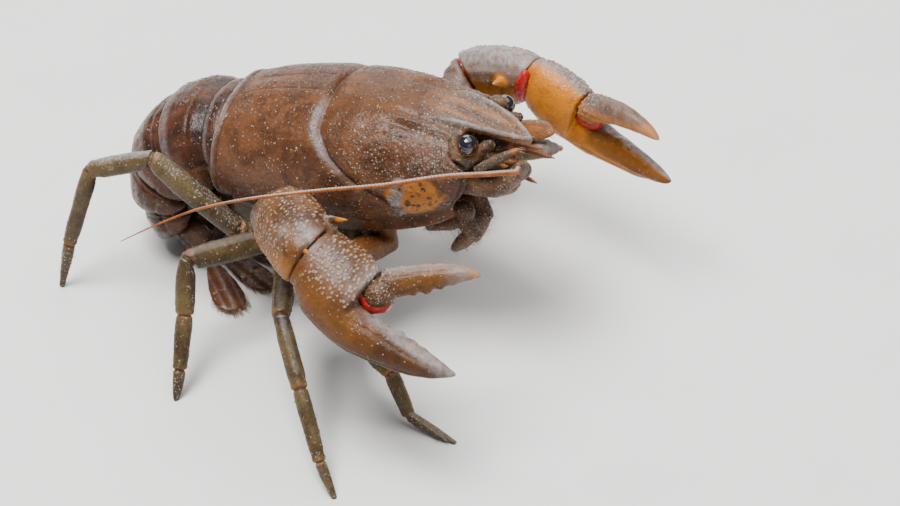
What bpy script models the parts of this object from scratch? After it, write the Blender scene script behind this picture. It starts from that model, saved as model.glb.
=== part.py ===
"""A Korean freshwater crayfish (Cambaroides similis), a still, life-size model.

It stands reared up in its threat pose: the front of the body raised, both claws
held forward and open, the right antenna swept back and the tail curled under.
The model heads along +X with +Z up and its left side at +Y. Sizes are in
millimetres and become metres in make_object().
"""

import math

import bmesh
import bpy
import numpy as np

MM = 0.001
GAP = 0.3  # clearance between pieces that touch
CENTRE_X, CENTRE_Y = -7.58, -1.56  # middle of the model's box, moved to the origin

# Shell colours as (red, green, blue), linear
SHELL_BROWN = (0.130, 0.046, 0.016)
TAIL_BROWN = (0.115, 0.040, 0.016)
CLAW_BROWN = (0.150, 0.062, 0.024)
CLAW_ORANGE = (0.420, 0.150, 0.018)
LEG_OLIVE = (0.170, 0.110, 0.040)
FEELER_ORANGE = (0.330, 0.120, 0.030)
EYE_BLACK = (0.008, 0.007, 0.010)
STALK_GREY = (0.120, 0.090, 0.060)

# The body's own frame: x ahead of the carapace's rear edge, y left, z above it
PITCH = math.radians(15)
REAR_TOP = np.array((-18.9, 0.0, 16.5))
STERNUM = -8.4  # the flat underside between the legs

# Carapace, along x in the body's frame: half width, top, widest level, keel
HALF_WIDTH = [(-2, 5.6), (0, 6.1), (4, 6.75), (8, 6.95), (12, 6.8), (15, 6.3), (18, 5.5), (20, 4.9),
              (22, 4.3)]
TOP = [(-2, -0.2), (0, 0.1), (4, 0.9), (8, 1.15), (10, 1.15), (13, 1.1), (16, 0.6), (19, -0.3), (21, -1),
       (23, -2)]
WIDEST = [(-2, -5), (8, -5.2), (14, -5.0), (18, -4.7), (22, -4.2)]
KEEL = [(-2, -7.9), (0, -8.2), (4, -9.0), (8, -9.5), (13, -9.7), (17, -9.4), (20, -8.5), (22, -7.2)]

# Carapace margins and groove: x by the angle down from the dorsal midline
REAR_EDGE = [(0, 0), (30, -0.1), (60, -0.4), (90, -0.8), (110, -0.8), (130, -0.4), (150, 0.2), (180, 0.5)]
GROOVE = [(0, 9.9), (40, 9.9), (60, 11.0), (80, 13.0), (95, 14.8), (110, 16.0), (130, 15.4), (180, 13.0)]
FRONT_EDGE = [(0, 22), (30, 21.6), (45, 20.8), (60, 20.7), (72, 21.35), (82, 22.1), (100, 22.0),
              (115, 21.3), (130, 20.2), (145, 19.3), (160, 18.8), (180, 18.7)]
GROOVE_DEPTH = 0.35
GROOVE_HALF = 0.55
GROOVE_END = 118  # degrees, where the groove runs out
FACE_X, FACE_SLOPE = 20.4, 0.38  # the wall that the eyes and feelers grow from

# Rostrum, along x: half width, level of its margins, level of its middle, thickness
ROSTRUM = [(17.6, 1.9, -0.8, -0.5, 1.6), (19.5, 2.1, -0.42, -0.3, 1.5), (21.2, 1.98, -0.85, -0.95, 1.2),
           (22.6, 1.72, -1.45, -1.65, 1.0), (24.0, 1.3, -2.15, -2.4, 0.85), (25.2, 0.7, -2.88, -3.1, 0.65),
           (25.9, 0.12, -3.4, -3.45, 0.3)]

EYE_RADIUS = 0.8
EYE_LEVEL = {"right": -1.85, "left": -2.6}  # each stalk leans on its own

# Tail: dorsal heading at the start, then length, turn, half width and height of each ring
TAIL_ROOT = (0.4, 0.0, -4.4)
TAIL_HEADING = 15
TAIL_RINGS = [(1.8, 4, 5.0, 4.15), (3.2, 20, 5.4, 4.6), (2.75, 30, 5.4, 4.6),
              (2.4, 33, 5.25, 4.4), (2.3, 33, 4.95, 4.0), (3.0, 32, 4.5, 3.3)]
TAIL_BELLY = 1.5  # depth of the underside below each ring's axis
FAN_THICK = 0.8

# Feelers, each side as it is held: places in the body's frame
ANTENNA_BASE = {"right": [(23.8, -3.0, -5.8), (26.7, -3.0, -3.75)],
                "left": [(23.0, 2.75, -6.4), (25.6, 2.8, -6.2)]}
ANTENNAL_SCALE = {"right": [(22.5, -3.5, -4.0), (26.4, -2.9, -2.3)],
                  "left": [(22.3, 3.5, -4.75), (26.3, 2.7, -4.6)]}
ANTENNULE_TIP = 25.8

# Third maxillipeds: both ends of the carpus, then the tip, in the body's frame
MAXILLIPED = {"right": [(19.0, -1.9, -10.1), (19.5, -1.9, -11.4), (17.2, -1.9, -13.2)],
              "left": [(18.9, 1.1, -10.1), (19.3, 0.6, -11.4), (18.0, 0.2, -13.8)]}

# Antennae: the route of each from the end of its base, in the model's frame
ANTENNA_ROUTE = {
    "right": [(7.78, -4.2, 20.58), (7.85, -4.55, 20.27), (7.35, -5.3, 20.64), (5.86, -6.8, 21.03),
              (4.04, -8.3, 21.43), (2.06, -9.8, 21.45), (-0.46, -11.55, 21.24), (-3.37, -13.35, 21.28),
              (-6.73, -15.1, 20.92), (-10.45, -16.7, 20.16), (-14.6, -18.1, 18.42), (-18.93, -19.3, 15.12)],
    "left": [(7.6, 3.75, 16.6), (7.7, 4.4, 16.1), (6.6, 5.2, 15.2), (4.4, 6.6, 14.1), (1.5, 8.0, 13.3),
             (-1.8, 9.2, 13.2), (-5.2, 10.0, 13.4), (-8.8, 10.4, 12.6), (-12.6, 10.6, 11.6),
             (-16.2, 10.6, 11.1), (-19.6, 10.5, 10.9)],
}
ANTENNA_RADIUS = 0.26

# Walking legs: places of the joints, from the coxa to the tip of the dactyl.
# The coxa is in the body's frame, the rest in the model's.
COXA_X = {1: 12.1, 2: 9.8, 3: 7.85, 4: 5.9, 5: 3.75}
COXA_LOW = {1: -11.8, 2: -12.0, 3: -12.0, 4: -12.0, 5: -12.0}
LEG_JOINTS = {
    ("right", 2): [(-5.4, -6.8, 5.6), (-3.2, -12.4, 6.9), (0.98, -13.0, 4.1), (2.95, -13.9, 1.0),
                   (7.07, -14.3, 0)],
    ("right", 3): [(-10.3, -8.0, 8.9), (-6.9, -16.1, 9.3), (-3.6, -19.6, 5.9), (-0.5, -22.6, 2.0),
                   (1.3, -23.8, 0)],
    ("right", 4): [(-12.6, -7.0, 8.2), (-16.7, -13.0, 9.15), (-16.0, -15.2, 5.5), (-15.2, -17.8, 2.1),
                   (-15.0, -19.0, 0)],
    ("right", 5): [(-15.4, -7.2, 8.5), (-22.7, -7.3, 13.2), (-27.8, -8.4, 11.2), (-29.3, -10.0, 4.2),
                   (-29.9, -10.7, 0)],
    ("left", 2): [(-5.4, 6.8, 5.3), (-3.4, 12.4, 7.3), (-2.6, 15.0, 5.0), (-2.6, 16.4, 2.2), (-2.9, 17.0, 0)],
    ("left", 3): [(-10.0, 7.8, 8.4), (-9.6, 14.0, 9.6), (-9.0, 17.2, 6.6), (-8.8, 19.6, 2.8),
                  (-8.9, 20.6, 0)],
    ("left", 4): [(-12.0, 7.2, 7.8), (-16.0, 12.0, 9.2), (-17.4, 14.6, 6.2), (-18.6, 17.2, 2.6),
                  (-19.2, 18.3, 0)],
    ("left", 5): [(-15.2, 6.9, 7.8), (-21.0, 9.5, 9.5), (-24.0, 11.6, 6.8), (-26.0, 13.6, 2.8),
                  (-26.8, 14.5, 0)],
}

# Claw arms: joints in the model's frame, then the claw's own axes
ARM_JOINTS = {
    "right": [(-5.2, -7.5, 9.5), (-9.6, -12.2, 15.0), (-4.6, -15.8, 16.0)],
    "left": [(-5.0, 8.3, 9.8), (-4.9, 14.2, 12.7), (1.07, 13.4, 14.58)],
}
CLAW_TIP = {"right": (9.3, -18.4, 11.1), "left": (15.03, 9.5, 11.43)}
CLAW_UP = {"right": (0.32, 0.72, 0.62), "left": (0.14, -0.26, 0.955)}
CLAW_OPEN = {"right": 43, "left": 20}  # degrees between the dactyl and the palm's axis
CLAW_ARCH = {"right": 0.0, "left": 0.65}  # how far the middle of each finger arches over its ends

# Carpus: share of the way from knuckle to wrist, half depth, half thickness, shift to the opening side
CARPUS = {
    "right": [(-0.16, 1.8, 1.6, 0.5), (0.02, 2.5, 2.0, 0.9), (0.2, 2.85, 2.3, 0.85), (0.5, 2.95, 2.45, 0.7),
              (0.78, 2.9, 2.4, 0.4), (0.97, 2.7, 2.2, 0.2), (1.12, 2.2, 1.8, 0.1)],
    "left": [(-0.16, 1.5, 1.5, 0.1), (0.02, 1.95, 1.8, 0.15), (0.2, 2.35, 2.0, 0.2), (0.5, 2.55, 2.1, 0.2),
             (0.78, 2.6, 2.1, 0.1), (0.97, 2.45, 1.95, 0.05), (1.12, 2.1, 1.7, 0)],
}

# Claw, along its axis: distance, lower edge, upper edge, half thickness
PALM = [(0.15, -2.2, 2.3, 1.5), (0.9, -2.8, 2.9, 1.85), (2.4, -3.55, 3.1, 2.1), (3.9, -3.8, 3.1, 2.15),
        (5.3, -3.9, 2.7, 1.9)]
FIXED_FINGER = [(3.6, -3.5, -0.2, 1.5), (5.4, -3.9, -0.2, 1.6), (6.9, -3.85, -0.4, 1.45),
                (8.6, -3.4, -0.25, 1.25), (10.3, -2.85, 0.0, 1.05), (11.9, -2.3, 0.15, 0.85),
                (13.4, -1.4, 0.2, 0.6), (14.3, -0.65, 0.15, 0.35), (14.75, -0.15, 0.08, 0.12)]
CLAW_LENGTH = 14.75
DACTYL_ROOT = (5.85, 1.6)
DACTYL = [(0.0, -1.0, 1.3, 1.2), (1.2, -0.97, 1.37, 1.15), (2.5, -0.82, 1.42, 1.05),
          (3.8, -0.62, 1.45, 0.95), (5.1, -0.47, 1.38, 0.8), (6.3, -0.3, 1.2, 0.62), (7.1, -0.18, 0.9, 0.45),
          (7.6, -0.08, 0.5, 0.28), (7.9, 0.0, 0.12, 0.08)]
DACTYL_LENGTH = 7.9


def smooth(x, table):
    """Value at x of a curve through the table's (x, value) points, with no overshoot."""
    xs, ys = (np.array(column, float) for column in zip(*table))
    slope = np.diff(ys) / np.diff(xs)
    lead, trail = np.append(slope, slope[-1]), np.insert(slope, 0, slope[0])
    tangent = np.where(lead * trail > 0, 2 * lead * trail / (lead + trail + 1e-12), 0)
    i = int(np.clip(np.searchsorted(xs, x) - 1, 0, len(xs) - 2))
    width = xs[i + 1] - xs[i]
    t = min(max((x - xs[i]) / width, 0.0), 1.0)
    return float(ys[i] * (2 * t**3 - 3 * t**2 + 1) + ys[i + 1] * (3 * t**2 - 2 * t**3)
                 + width * (tangent[i] * (t**3 - 2 * t**2 + t) + tangent[i + 1] * (t**3 - t**2)))


def unit(v):
    v = np.asarray(v, float)
    return v / np.linalg.norm(v)


def body_axes():
    """Columns are the body's forward, left and up directions."""
    c, s = math.cos(PITCH), math.sin(PITCH)
    return np.array(((c, 0, -s), (0, 1, 0), (s, 0, c)))


def body(x, y, z):
    """The model's point for a place in the body's frame."""
    return REAR_TOP + body_axes() @ np.array((x, y, z), float)


def face_x(z):
    """Where the face wall stands at height z of the body's frame."""
    return FACE_X + (z + 2) * FACE_SLOPE


FACE_OUT = body_axes() @ unit((1, 0, -FACE_SLOPE))
DOWN = body_axes() @ np.array((0.0, 0.0, -1.0))


def material(name, colour, roughness=0.35):
    """A plain Principled material, made once."""
    found = bpy.data.materials.get(name)
    if found:
        return found
    made = bpy.data.materials.new(name)
    made.use_nodes = True
    shader = made.node_tree.nodes["Principled BSDF"]
    shader.inputs["Base Color"].default_value = (*colour, 1)
    shader.inputs["Roughness"].default_value = roughness
    made.diffuse_color = (*colour, 1)
    return made


def make_object(name, points, faces, look=None):
    """A mesh object from millimetre points, shaded smooth, in the crayfish collection."""
    mesh = bpy.data.meshes.new(name)
    mesh.from_pydata([tuple(p) for p in np.asarray(points, float) * MM], [], faces)
    tidy = bmesh.new()
    tidy.from_mesh(mesh)
    bmesh.ops.recalc_face_normals(tidy, faces=tidy.faces)
    tidy.to_mesh(mesh)
    tidy.free()
    mesh.shade_smooth()
    obj = bpy.data.objects.new(name, mesh)
    if look:
        mesh.materials.append(look)
    bpy.data.collections["crayfish"].objects.link(obj)
    return obj


def loft(name, rings, look=None):
    """A closed body through rings of equal point counts, its ends closed flat."""
    count = len(rings[0])
    points = np.concatenate(rings)
    faces = []
    for r in range(len(rings) - 1):
        for j in range(count):
            k = (j + 1) % count
            faces.append((r * count + j, r * count + k, (r + 1) * count + k, (r + 1) * count + j))
    last = (len(rings) - 1) * count
    faces.append(tuple(range(count))[::-1])
    faces.append(tuple(range(last, last + count)))
    return make_object(name, points, faces, look)


def ellipse(centre, across, along, sides):
    """A ring of points round centre, with the half axes given as vectors."""
    turn = np.arange(sides) * 2 * math.pi / sides
    return centre + np.outer(np.cos(turn), across) + np.outer(np.sin(turn), along)


def limb_rings(joints, profiles, side, sides, start=None, end=None):
    """Rings along a jointed limb.

    profiles holds, for each segment, (share of its length, half width, half height)
    and maybe a shift sideways.
    side is the direction of the half width. start and end are the directions that
    the first and last ring face, where another piece continues the limb.
    """
    joints = [np.asarray(j, float) for j in joints]
    ways = [unit(b - a) for a, b in zip(joints, joints[1:])]
    rings = []
    for i, profile in enumerate(profiles):
        for share, width, height, *shift in profile:
            before = ways[i - 1] if i else (ways[0] if start is None else unit(start))
            after = ways[i + 1] if i + 1 < len(ways) else (ways[-1] if end is None else unit(end))
            way = ways[i]
            if share == 0:
                way = unit(before + way) if i else before
            elif share == 1:
                way = unit(way + after) if i + 1 < len(ways) else after
            across = unit(side - way * np.dot(side, way))
            centre = joints[i] + share * (joints[i + 1] - joints[i]) + across * (shift[0] if shift else 0)
            rings.append(ellipse(centre, across * width, np.cross(way, across) * height, sides))
    return rings


def cone(name, root, tip, radius, sides=6):
    """A spine from a sunk root to its tip."""
    root, tip = np.asarray(root, float), np.asarray(tip, float)
    way = unit(tip - root)
    side = unit(np.cross(way, (0.3, 0.5, 0.81)))
    across, over = side * radius, np.cross(way, side) * radius
    rings = [ellipse(root + (tip - root) * share, across * size, over * size, sides)
             for share, size in ((0, 1), (0.6, 0.62), (1, 0.12))]
    return loft(name, rings)


def ball(name, centre, radii, segments=20, look=None):
    """An ellipsoid with its poles along X."""
    sphere = bmesh.new()
    bmesh.ops.create_uvsphere(sphere, u_segments=segments, v_segments=segments // 2, radius=1)
    points = [np.array(v.co)[[2, 1, 0]] * radii + centre for v in sphere.verts]
    faces = [tuple(v.index for v in f.verts) for f in sphere.faces]
    sphere.free()
    return make_object(name, points, faces, look)


def replace_mesh(obj, mesh):
    old = obj.data
    obj.data = mesh
    mesh.name = old.name
    bpy.data.meshes.remove(old)


def keep_largest(mesh):
    """Leaves only the mesh's largest connected surface."""
    shape = bmesh.new()
    shape.from_mesh(mesh)
    left = set(shape.verts)
    islands = []
    while left:
        island, front = set(), [next(iter(left))]
        while front:
            vert = front.pop()
            if vert in island:
                continue
            island.add(vert)
            front.extend(edge.other_vert(vert) for edge in vert.link_edges)
        left -= island
        islands.append(island)
    largest = max(islands, key=len)
    bmesh.ops.delete(shape, geom=[v for v in shape.verts if v not in largest], context="VERTS")
    shape.to_mesh(mesh)
    shape.free()


def apply_boolean(obj, pieces, operation):
    """Joins pieces to obj or cuts them from it, in one Boolean, and removes them."""
    group = bpy.data.collections.new("pieces")
    bpy.context.scene.collection.children.link(group)
    for piece in pieces:
        bpy.data.collections["crayfish"].objects.unlink(piece)
        group.objects.link(piece)
    boolean = obj.modifiers.new("join", "BOOLEAN")
    boolean.operation = operation
    boolean.operand_type = "COLLECTION"
    boolean.collection = group
    boolean.solver = "EXACT"
    graph = bpy.context.evaluated_depsgraph_get()
    mesh = bpy.data.meshes.new_from_object(obj.evaluated_get(graph))
    obj.modifiers.clear()
    replace_mesh(obj, mesh)
    for piece in pieces:
        bpy.data.objects.remove(piece)
    bpy.data.collections.remove(group)
    keep_largest(obj.data)
    obj.data.shade_smooth()
    return obj


def fuse(obj, pieces):
    return apply_boolean(obj, pieces, "UNION")


def carve(obj, cutters):
    return apply_boolean(obj, cutters, "DIFFERENCE")


def cut_flat(obj, point, normal):
    """Cuts away what lies behind the plane at point, given in millimetres, and closes the cut."""
    shape = bmesh.new()
    shape.from_mesh(obj.data)
    cut = bmesh.ops.bisect_plane(shape, geom=[*shape.verts, *shape.edges, *shape.faces], dist=1e-7,
                                 plane_co=np.asarray(point, float) * MM, plane_no=normal, clear_inner=True)
    rim = [e for e in cut["geom_cut"] if isinstance(e, bmesh.types.BMEdge)]
    bmesh.ops.contextual_create(shape, geom=rim)
    bmesh.ops.recalc_face_normals(shape, faces=shape.faces)
    shape.to_mesh(obj.data)
    shape.free()
    return obj


def rest_on_floor(obj):
    """Cuts away what would lie below the floor, which leaves a small flat to stand on."""
    return cut_flat(obj, (0, 0, 0), (0, 0, 1))


def both_sides():
    """Each side's name and the sign of its y."""
    return (("left", 1), ("right", -1))


def carapace_section(x, angle):
    """Point of the carapace at x and an angle in degrees from the dorsal midline, in the body's frame."""
    width, top, widest, keel = (smooth(x, table) for table in (HALF_WIDTH, TOP, WIDEST, KEEL))
    turn = abs(angle)
    if turn <= 132:
        a = math.radians(turn)
        rise = top - widest if turn < 90 else widest - keel
        y = width * math.sin(a) ** 0.9
        z = widest + rise * math.copysign(abs(math.cos(a)) ** 0.95, math.cos(a))
    else:
        roof = max(STERNUM, keel + 0.5)
        y = width * smooth(turn, [(132, 0.77), (142, 0.74), (152, 0.66), (160, 0.62), (170, 0.34), (180, 0)])
        z = {142: keel, 152: keel + 0.15}.get(turn, roof)
    return np.array((x, math.copysign(y, angle), z))


def carapace_ring(edge, other, share, angles, lift=None):
    """A ring between two margins given as tables by angle, raised by lift(angle) off the surface."""
    ring = []
    for angle in angles:
        x = smooth(abs(angle), edge) * (1 - share) + smooth(abs(angle), other) * share
        point = carapace_section(x, angle)
        if lift:
            hub = np.array((x, 0, smooth(x, WIDEST)))
            point = point + unit(point - hub) * lift(abs(angle))
        ring.append(point)
    return ring


def make_cephalothorax():
    """Carapace with its rostrum, cervical groove and flat underside, as one closed body."""
    half = [12, 24, 36, 48, 60, 72, 84, 96, 108, 120, 132, 142, 152, 160, 170]
    angles = [-180, *(-angle for angle in half[::-1]), 0, *half]

    def groove_shift(offset):
        return [(angle, x + offset) for angle, x in GROOVE]

    def groove_floor(angle):
        return -GROOVE_DEPTH * min(1.0, max(0.0, (GROOVE_END - angle) / 25))

    behind, ahead = groove_shift(-GROOVE_HALF), groove_shift(GROOVE_HALF)
    rings = [carapace_ring(REAR_EDGE, behind, share, angles) for share in (0, 0.12, 0.35, 0.62, 0.85, 1)]
    rings.append(carapace_ring(GROOVE, GROOVE, 0, angles, groove_floor))
    rings += [carapace_ring(ahead, FRONT_EDGE, share, angles) for share in (0, 0.2, 0.45, 0.7, 0.9, 1)]
    rear_hub = np.array((1.1, 0, TAIL_ROOT[2]))
    rear_wall = [rear_hub + (p - rear_hub) * np.array((0, 0.87, 0.87)) for p in rings[0]]
    rear_wall = [np.array((x, y, max(z, -7.2))) for x, y, z in rear_wall]
    face_hub = np.array((0, 0, -4.6))
    face = [face_hub + (p - face_hub) * np.array((0, 0.88, 0.86)) for p in rings[-1]]
    face = [np.array((face_x(max(z, -7.6)), y, max(z, -7.6))) for _, y, z in face]
    rings = [rear_wall, *rings, face]
    placed = [np.array([body(*p) for p in ring]) for ring in rings]
    shell = loft("cephalothorax", placed, material("shell", SHELL_BROWN))
    return fuse(shell, [make_rostrum()])


def make_rostrum():
    """The beak over the eyes: a tapering plate with raised margins."""
    rings = []
    for x, half, margin, middle, thick in ROSTRUM:
        section = [(0, middle), (0.5, middle * 0.7 + margin * 0.3), (0.86, margin), (1, margin - 0.2 * thick),
                   (0.92, margin - 0.6 * thick), (0.4, min(margin, middle) - thick)]
        outline = section + [(-share, z) for share, z in section[:0:-1]]
        rings.append(np.array([body(x, share * half, z) for share, z in outline]))
    return loft("rostrum", rings)


def tail_stations(steps):
    """For each tail ring: (place, heading in degrees) at steps + 1 stations along its axis."""
    place = body(*TAIL_ROOT)
    heading = TAIL_HEADING
    rings = []
    for length, turn, _, _ in TAIL_RINGS:
        stations = [(place.copy(), heading)]
        for _ in range(steps):
            heading += turn / steps / 2
            angle = math.radians(heading)
            place = place + np.array((-math.cos(angle), 0, -math.sin(angle))) * length / steps
            heading += turn / steps / 2
            stations.append((place.copy(), heading))
        rings.append(stations)
    return rings


def tail_frame(heading):
    """Rearward and dorsal directions at a heading down from straight back."""
    a = math.radians(heading)
    return np.array((-math.cos(a), 0, -math.sin(a))), np.array((-math.sin(a), 0, math.cos(a)))


def tail_section(place, heading, width, height, belly, pleuron):
    """One cross-section of a tail ring: the arched tergite, its side flaps and the underside."""
    _, dorsal = tail_frame(heading)
    half = [(math.sin(math.radians(a)) ** 0.92 * width, math.cos(math.radians(a)) * height)
            for a in (0, 15, 31, 47, 63, 79)]
    half += [(width, -0.3 * height * 0.5), (width * 0.97, -pleuron * 0.62), (width * 0.88, -pleuron),
             (width * 0.76, -pleuron * 0.8), (width * 0.66, -belly), (width * 0.33, -belly)]
    outline = half + [(0, -belly)] + [(-y, n) for y, n in half[:0:-1]]
    return np.array([place + np.array((0, y, 0)) + dorsal * n for y, n in outline])


def tail_point(number, share, y, depth):
    """A point inside a tail ring, share of the way along it and depth below its axis."""
    stations = tail_stations(4)[number - 1]
    place, heading = stations[round(share * 4)]
    return place + np.array((0, y, 0)) - tail_frame(heading)[1] * depth


def make_tail_rings():
    """The six rings of the tail, each with its side flaps, and swimmerets under rings 2 to 5."""
    profile = [(0.0, 0.90, 0.3), (0.2, 0.95, 0.8), (0.5, 1.0, 1.0), (0.8, 1.0, 0.8), (1.0, 0.97, 0.4)]
    for number, (stations, (_, _, width, height)) in enumerate(zip(tail_stations(20), TAIL_RINGS), 1):
        pleuron = 1.2 if number == 1 else 2.7 if number in (2, 3) else 2.4
        belly = 1.0 if number == 6 else TAIL_BELLY
        rings = []
        for share, size, flap in profile:
            place, heading = stations[round(share * 20)]
            rearward = tail_frame(heading)[0]
            place = place + rearward * GAP / 2 * {0: 1, 1: -1}.get(share, 0)
            thin = 1 - 0.33 * share if number == 6 else 1
            rings.append(tail_section(place, heading, width * size, height * size * thin, belly,
                                      belly + (pleuron - belly) * flap))
        ring = loft(f"abdomen_{number}", rings, material("tail", TAIL_BROWN))
        if 2 <= number <= 5:
            fuse(ring, [make_swimmeret(number, sign) for _, sign in both_sides()])
        if number == 6:
            rest_on_floor(ring)


def make_swimmeret(number, sign):
    """A small flat swimmeret, which points in and forward from its ring's underside."""
    root = tail_point(number, 0.5, sign * 2.1, TAIL_BELLY - 0.5)
    knee = tail_point(number, 0.5, sign * 1.7, TAIL_BELLY + 0.6)
    rearward, dorsal = tail_frame(tail_stations(4)[number - 1][2][1])
    tip = knee - rearward * 0.3 - dorsal * 0.6 + np.array((0, -sign * 0.5, 0))
    profiles = [[(0, 0.45, 0.35), (0.9, 0.42, 0.3)], [(0.4, 0.5, 0.26), (0.8, 0.42, 0.22), (1, 0.15, 0.12)]]
    return loft("swimmeret", limb_rings([root, knee, tip], profiles, np.array((0, 1.0, 0)), 8))


def make_fan_blade(name, root, heading, length, width, tilt=0.0):
    """One blade of the tail fan, lying dorsal side down: root to rounded tip, along heading in degrees."""
    a = math.radians(heading)
    along, across = np.array((math.cos(a), math.sin(a), 0)), np.array((-math.sin(a), math.cos(a), 0))
    outline = [(0.0, 0.34, 0.8), (0.18, 0.6, 1.0), (0.45, 0.9, 1.0), (0.7, 1.0, 0.9), (0.88, 0.86, 0.75),
               (0.97, 0.55, 0.6), (1.0, 0.25, 0.5)]
    rings = []
    for share, half, thick in outline:
        centre = np.asarray(root, float) + along * share * length + np.array((0, 0, -tilt * share))
        rings.append(ellipse(centre, across * half * width / 2, np.array((0, 0, thick * FAN_THICK / 2)), 12))
    return rest_on_floor(loft(name, rings, material("tail", TAIL_BROWN)))


def make_tail_fan():
    """Telson and two uropods a side, spread flat on the floor under the body."""
    place, _ = tail_stations(8)[-1][-1]
    root_x, root_z = place[0] + GAP, 0.75
    make_fan_blade("telson", (root_x + 0.1, 0, root_z), 0, 5.6, 3.3, tilt=0.42)
    for side, sign in both_sides():
        inner, outer = (root_x + 0.1, sign * 2.1, root_z), (root_x + 0.1, sign * 3.95, root_z)
        make_fan_blade(f"uropod_inner_{side}", inner, sign * 19, 5.8, 2.6, tilt=0.42)
        make_fan_blade(f"uropod_outer_{side}", outer, sign * 43, 5.6, 2.8, tilt=0.42)


def make_eyes():
    """Black eyes on short stalks, set under the edges of the rostrum."""
    for side, sign in both_sides():
        centre = body(22.2, sign * 3.3, EYE_LEVEL[side])
        radius = EYE_RADIUS
        ball(f"eye_{side}", centre, (radius, radius, radius), 20, material("eye", EYE_BLACK, 0.08))
        root = body(face_x(-3.5) + GAP, sign * 2.1, -3.5)
        profiles = [[(0, 0.56, 0.56), (0.3, 0.55, 0.55), (0.65, 0.56, 0.56), (1, 0.5, 0.5)]]
        rings = limb_rings([root, centre], profiles, body_axes()[:, 1], 10, start=FACE_OUT)
        stalk = loft(f"eyestalk_{side}", rings, material("stalk", STALK_GREY))
        socket = radius + GAP
        carve(stalk, [ball("socket", centre, (socket, socket, socket), 20)])


def make_feelers():
    """Antennules, antenna bases with their scales, and the long antennae."""
    side_way = body_axes()[:, 1]
    for side, sign in both_sides():
        root = body(face_x(-4.9) + GAP, sign * 1.0, -4.9)
        knee = body(23.4, sign * 1.0, -4.6)
        stem = [[(0, 0.6, 0.6), (0.35, 0.6, 0.6), (0.7, 0.5, 0.5), (1, 0.4, 0.4)]]
        antennule = loft(f"antennule_{side}", limb_rings([root, knee], stem, side_way, 8, start=FACE_OUT),
                         material("leg", LEG_OLIVE))
        flagella = []
        for spread, drop in ((0.1, 0.4), (0.6, 1.6)):
            tip = body(ANTENNULE_TIP + spread, sign * (1.1 + spread), -4.7 - drop)
            thin = [[(0, 0.29, 0.29), (0.5, 0.26, 0.26), (0.85, 0.2, 0.2), (1, 0.06, 0.06)]]
            start = body(22.8, sign * (0.95 + 0.3 * spread), -4.6 - 0.2 * drop)
            flagella.append(loft("flagellum", limb_rings([start, tip], thin, side_way, 6)))
        fuse(antennule, flagella)
        make_antenna_base(side, sign)
        make_antennal_scale(side, sign)
        make_antenna(side)


def make_antenna_base(side, sign):
    """The thick first joints of an antenna."""
    joints = [body(face_x(-6.0) + GAP, sign * 2.45, -6.0), *(body(*p) for p in ANTENNA_BASE[side])]
    base = [[(0, 0.85, 0.95), (0.5, 1.0, 1.05), (0.9, 0.92, 0.98)],
            [(0.1, 0.88, 0.92), (0.5, 0.82, 0.82), (0.9, 0.78, 0.76), (1, 0.52, 0.5)]]
    rings = limb_rings(joints, base, body_axes()[:, 1], 12, start=FACE_OUT)
    loft(f"antenna_base_{side}", rings, material("leg", LEG_OLIVE))


def make_antennal_scale(side, sign):
    """The leaf-shaped scale over each antenna, with its stiff outer edge and spine."""
    root, tip = (body(*p) for p in ANTENNAL_SCALE[side])
    blade = [[(0, 0.4, 0.3), (0.2, 0.7, 0.34), (0.5, 0.9, 0.34), (0.75, 0.8, 0.32), (0.9, 0.5, 0.28),
              (1, 0.14, 0.12)]]
    tilt = unit(body_axes()[:, 1] * sign * -0.85 + body_axes()[:, 2] * -0.4)
    loft(f"antennal_scale_{side}", limb_rings([root, tip], blade, tilt, 10), material("leg", LEG_OLIVE))


def make_antenna(side):
    """The long antenna, a tapering bevelled curve swept back along the body."""
    route = ANTENNA_ROUTE[side]
    name = f"antenna_{side}"
    curve = bpy.data.curves.new(name, "CURVE")
    curve.dimensions = "3D"
    curve.bevel_depth = MM
    curve.bevel_resolution = 1
    curve.use_fill_caps = True
    curve.resolution_u = 3
    spline = curve.splines.new("NURBS")
    spline.points.add(len(route) - 1)
    spline.use_endpoint_u = True
    spline.order_u = 3
    for i, (point, place) in enumerate(zip(spline.points, route)):
        share = i / (len(route) - 1)
        point.co = (*(np.array(place) * MM), 1)
        point.radius = ANTENNA_RADIUS * (1.35 - 0.45 * share if share < 0.8 else 0.99 - 4.2 * (share - 0.8))
    obj = bpy.data.objects.new(name, curve)
    bpy.data.collections["crayfish"].objects.link(obj)
    curve.materials.append(material("feeler", FEELER_ORANGE))
    return obj


def make_mouth():
    """Mandibles as one rounded block, and the third maxillipeds folded down below the head."""
    mandibles = [[(0, 1.1, 0.5), (0.1, 1.3, 0.55), (0.35, 1.9, 0.85), (0.7, 1.7, 0.8), (0.92, 1.0, 0.5),
                  (1, 0.4, 0.2)]]
    joints = [body(face_x(-7.3) + 2 * GAP, 0, -7.3), body(23.6, 0, -7.95)]
    look = material("leg", LEG_OLIVE)
    across = body_axes()[:, 1]
    loft("mandibles", limb_rings(joints, mandibles, across, 14, start=FACE_OUT), look)
    profiles = [[(0, 0.62, 0.62)], [(0.0, 0.72, 0.8), (0.5, 0.78, 0.84)],
                [(0.0, 0.74, 0.86), (0.5, 0.74, 0.74)],
                [(0.0, 0.72, 0.82), (0.5, 0.6, 0.62), (0.85, 0.42, 0.44), (1, 0.2, 0.2)]]
    for side, sign in both_sides():
        joints = [body(15.2, sign * 1.5, STERNUM - GAP), body(15.8, sign * 1.6, -10.9),
                  *(body(*p) for p in MAXILLIPED[side])]
        loft(f"maxilliped_{side}", limb_rings(joints, profiles, across, 10, start=DOWN), look)


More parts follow.
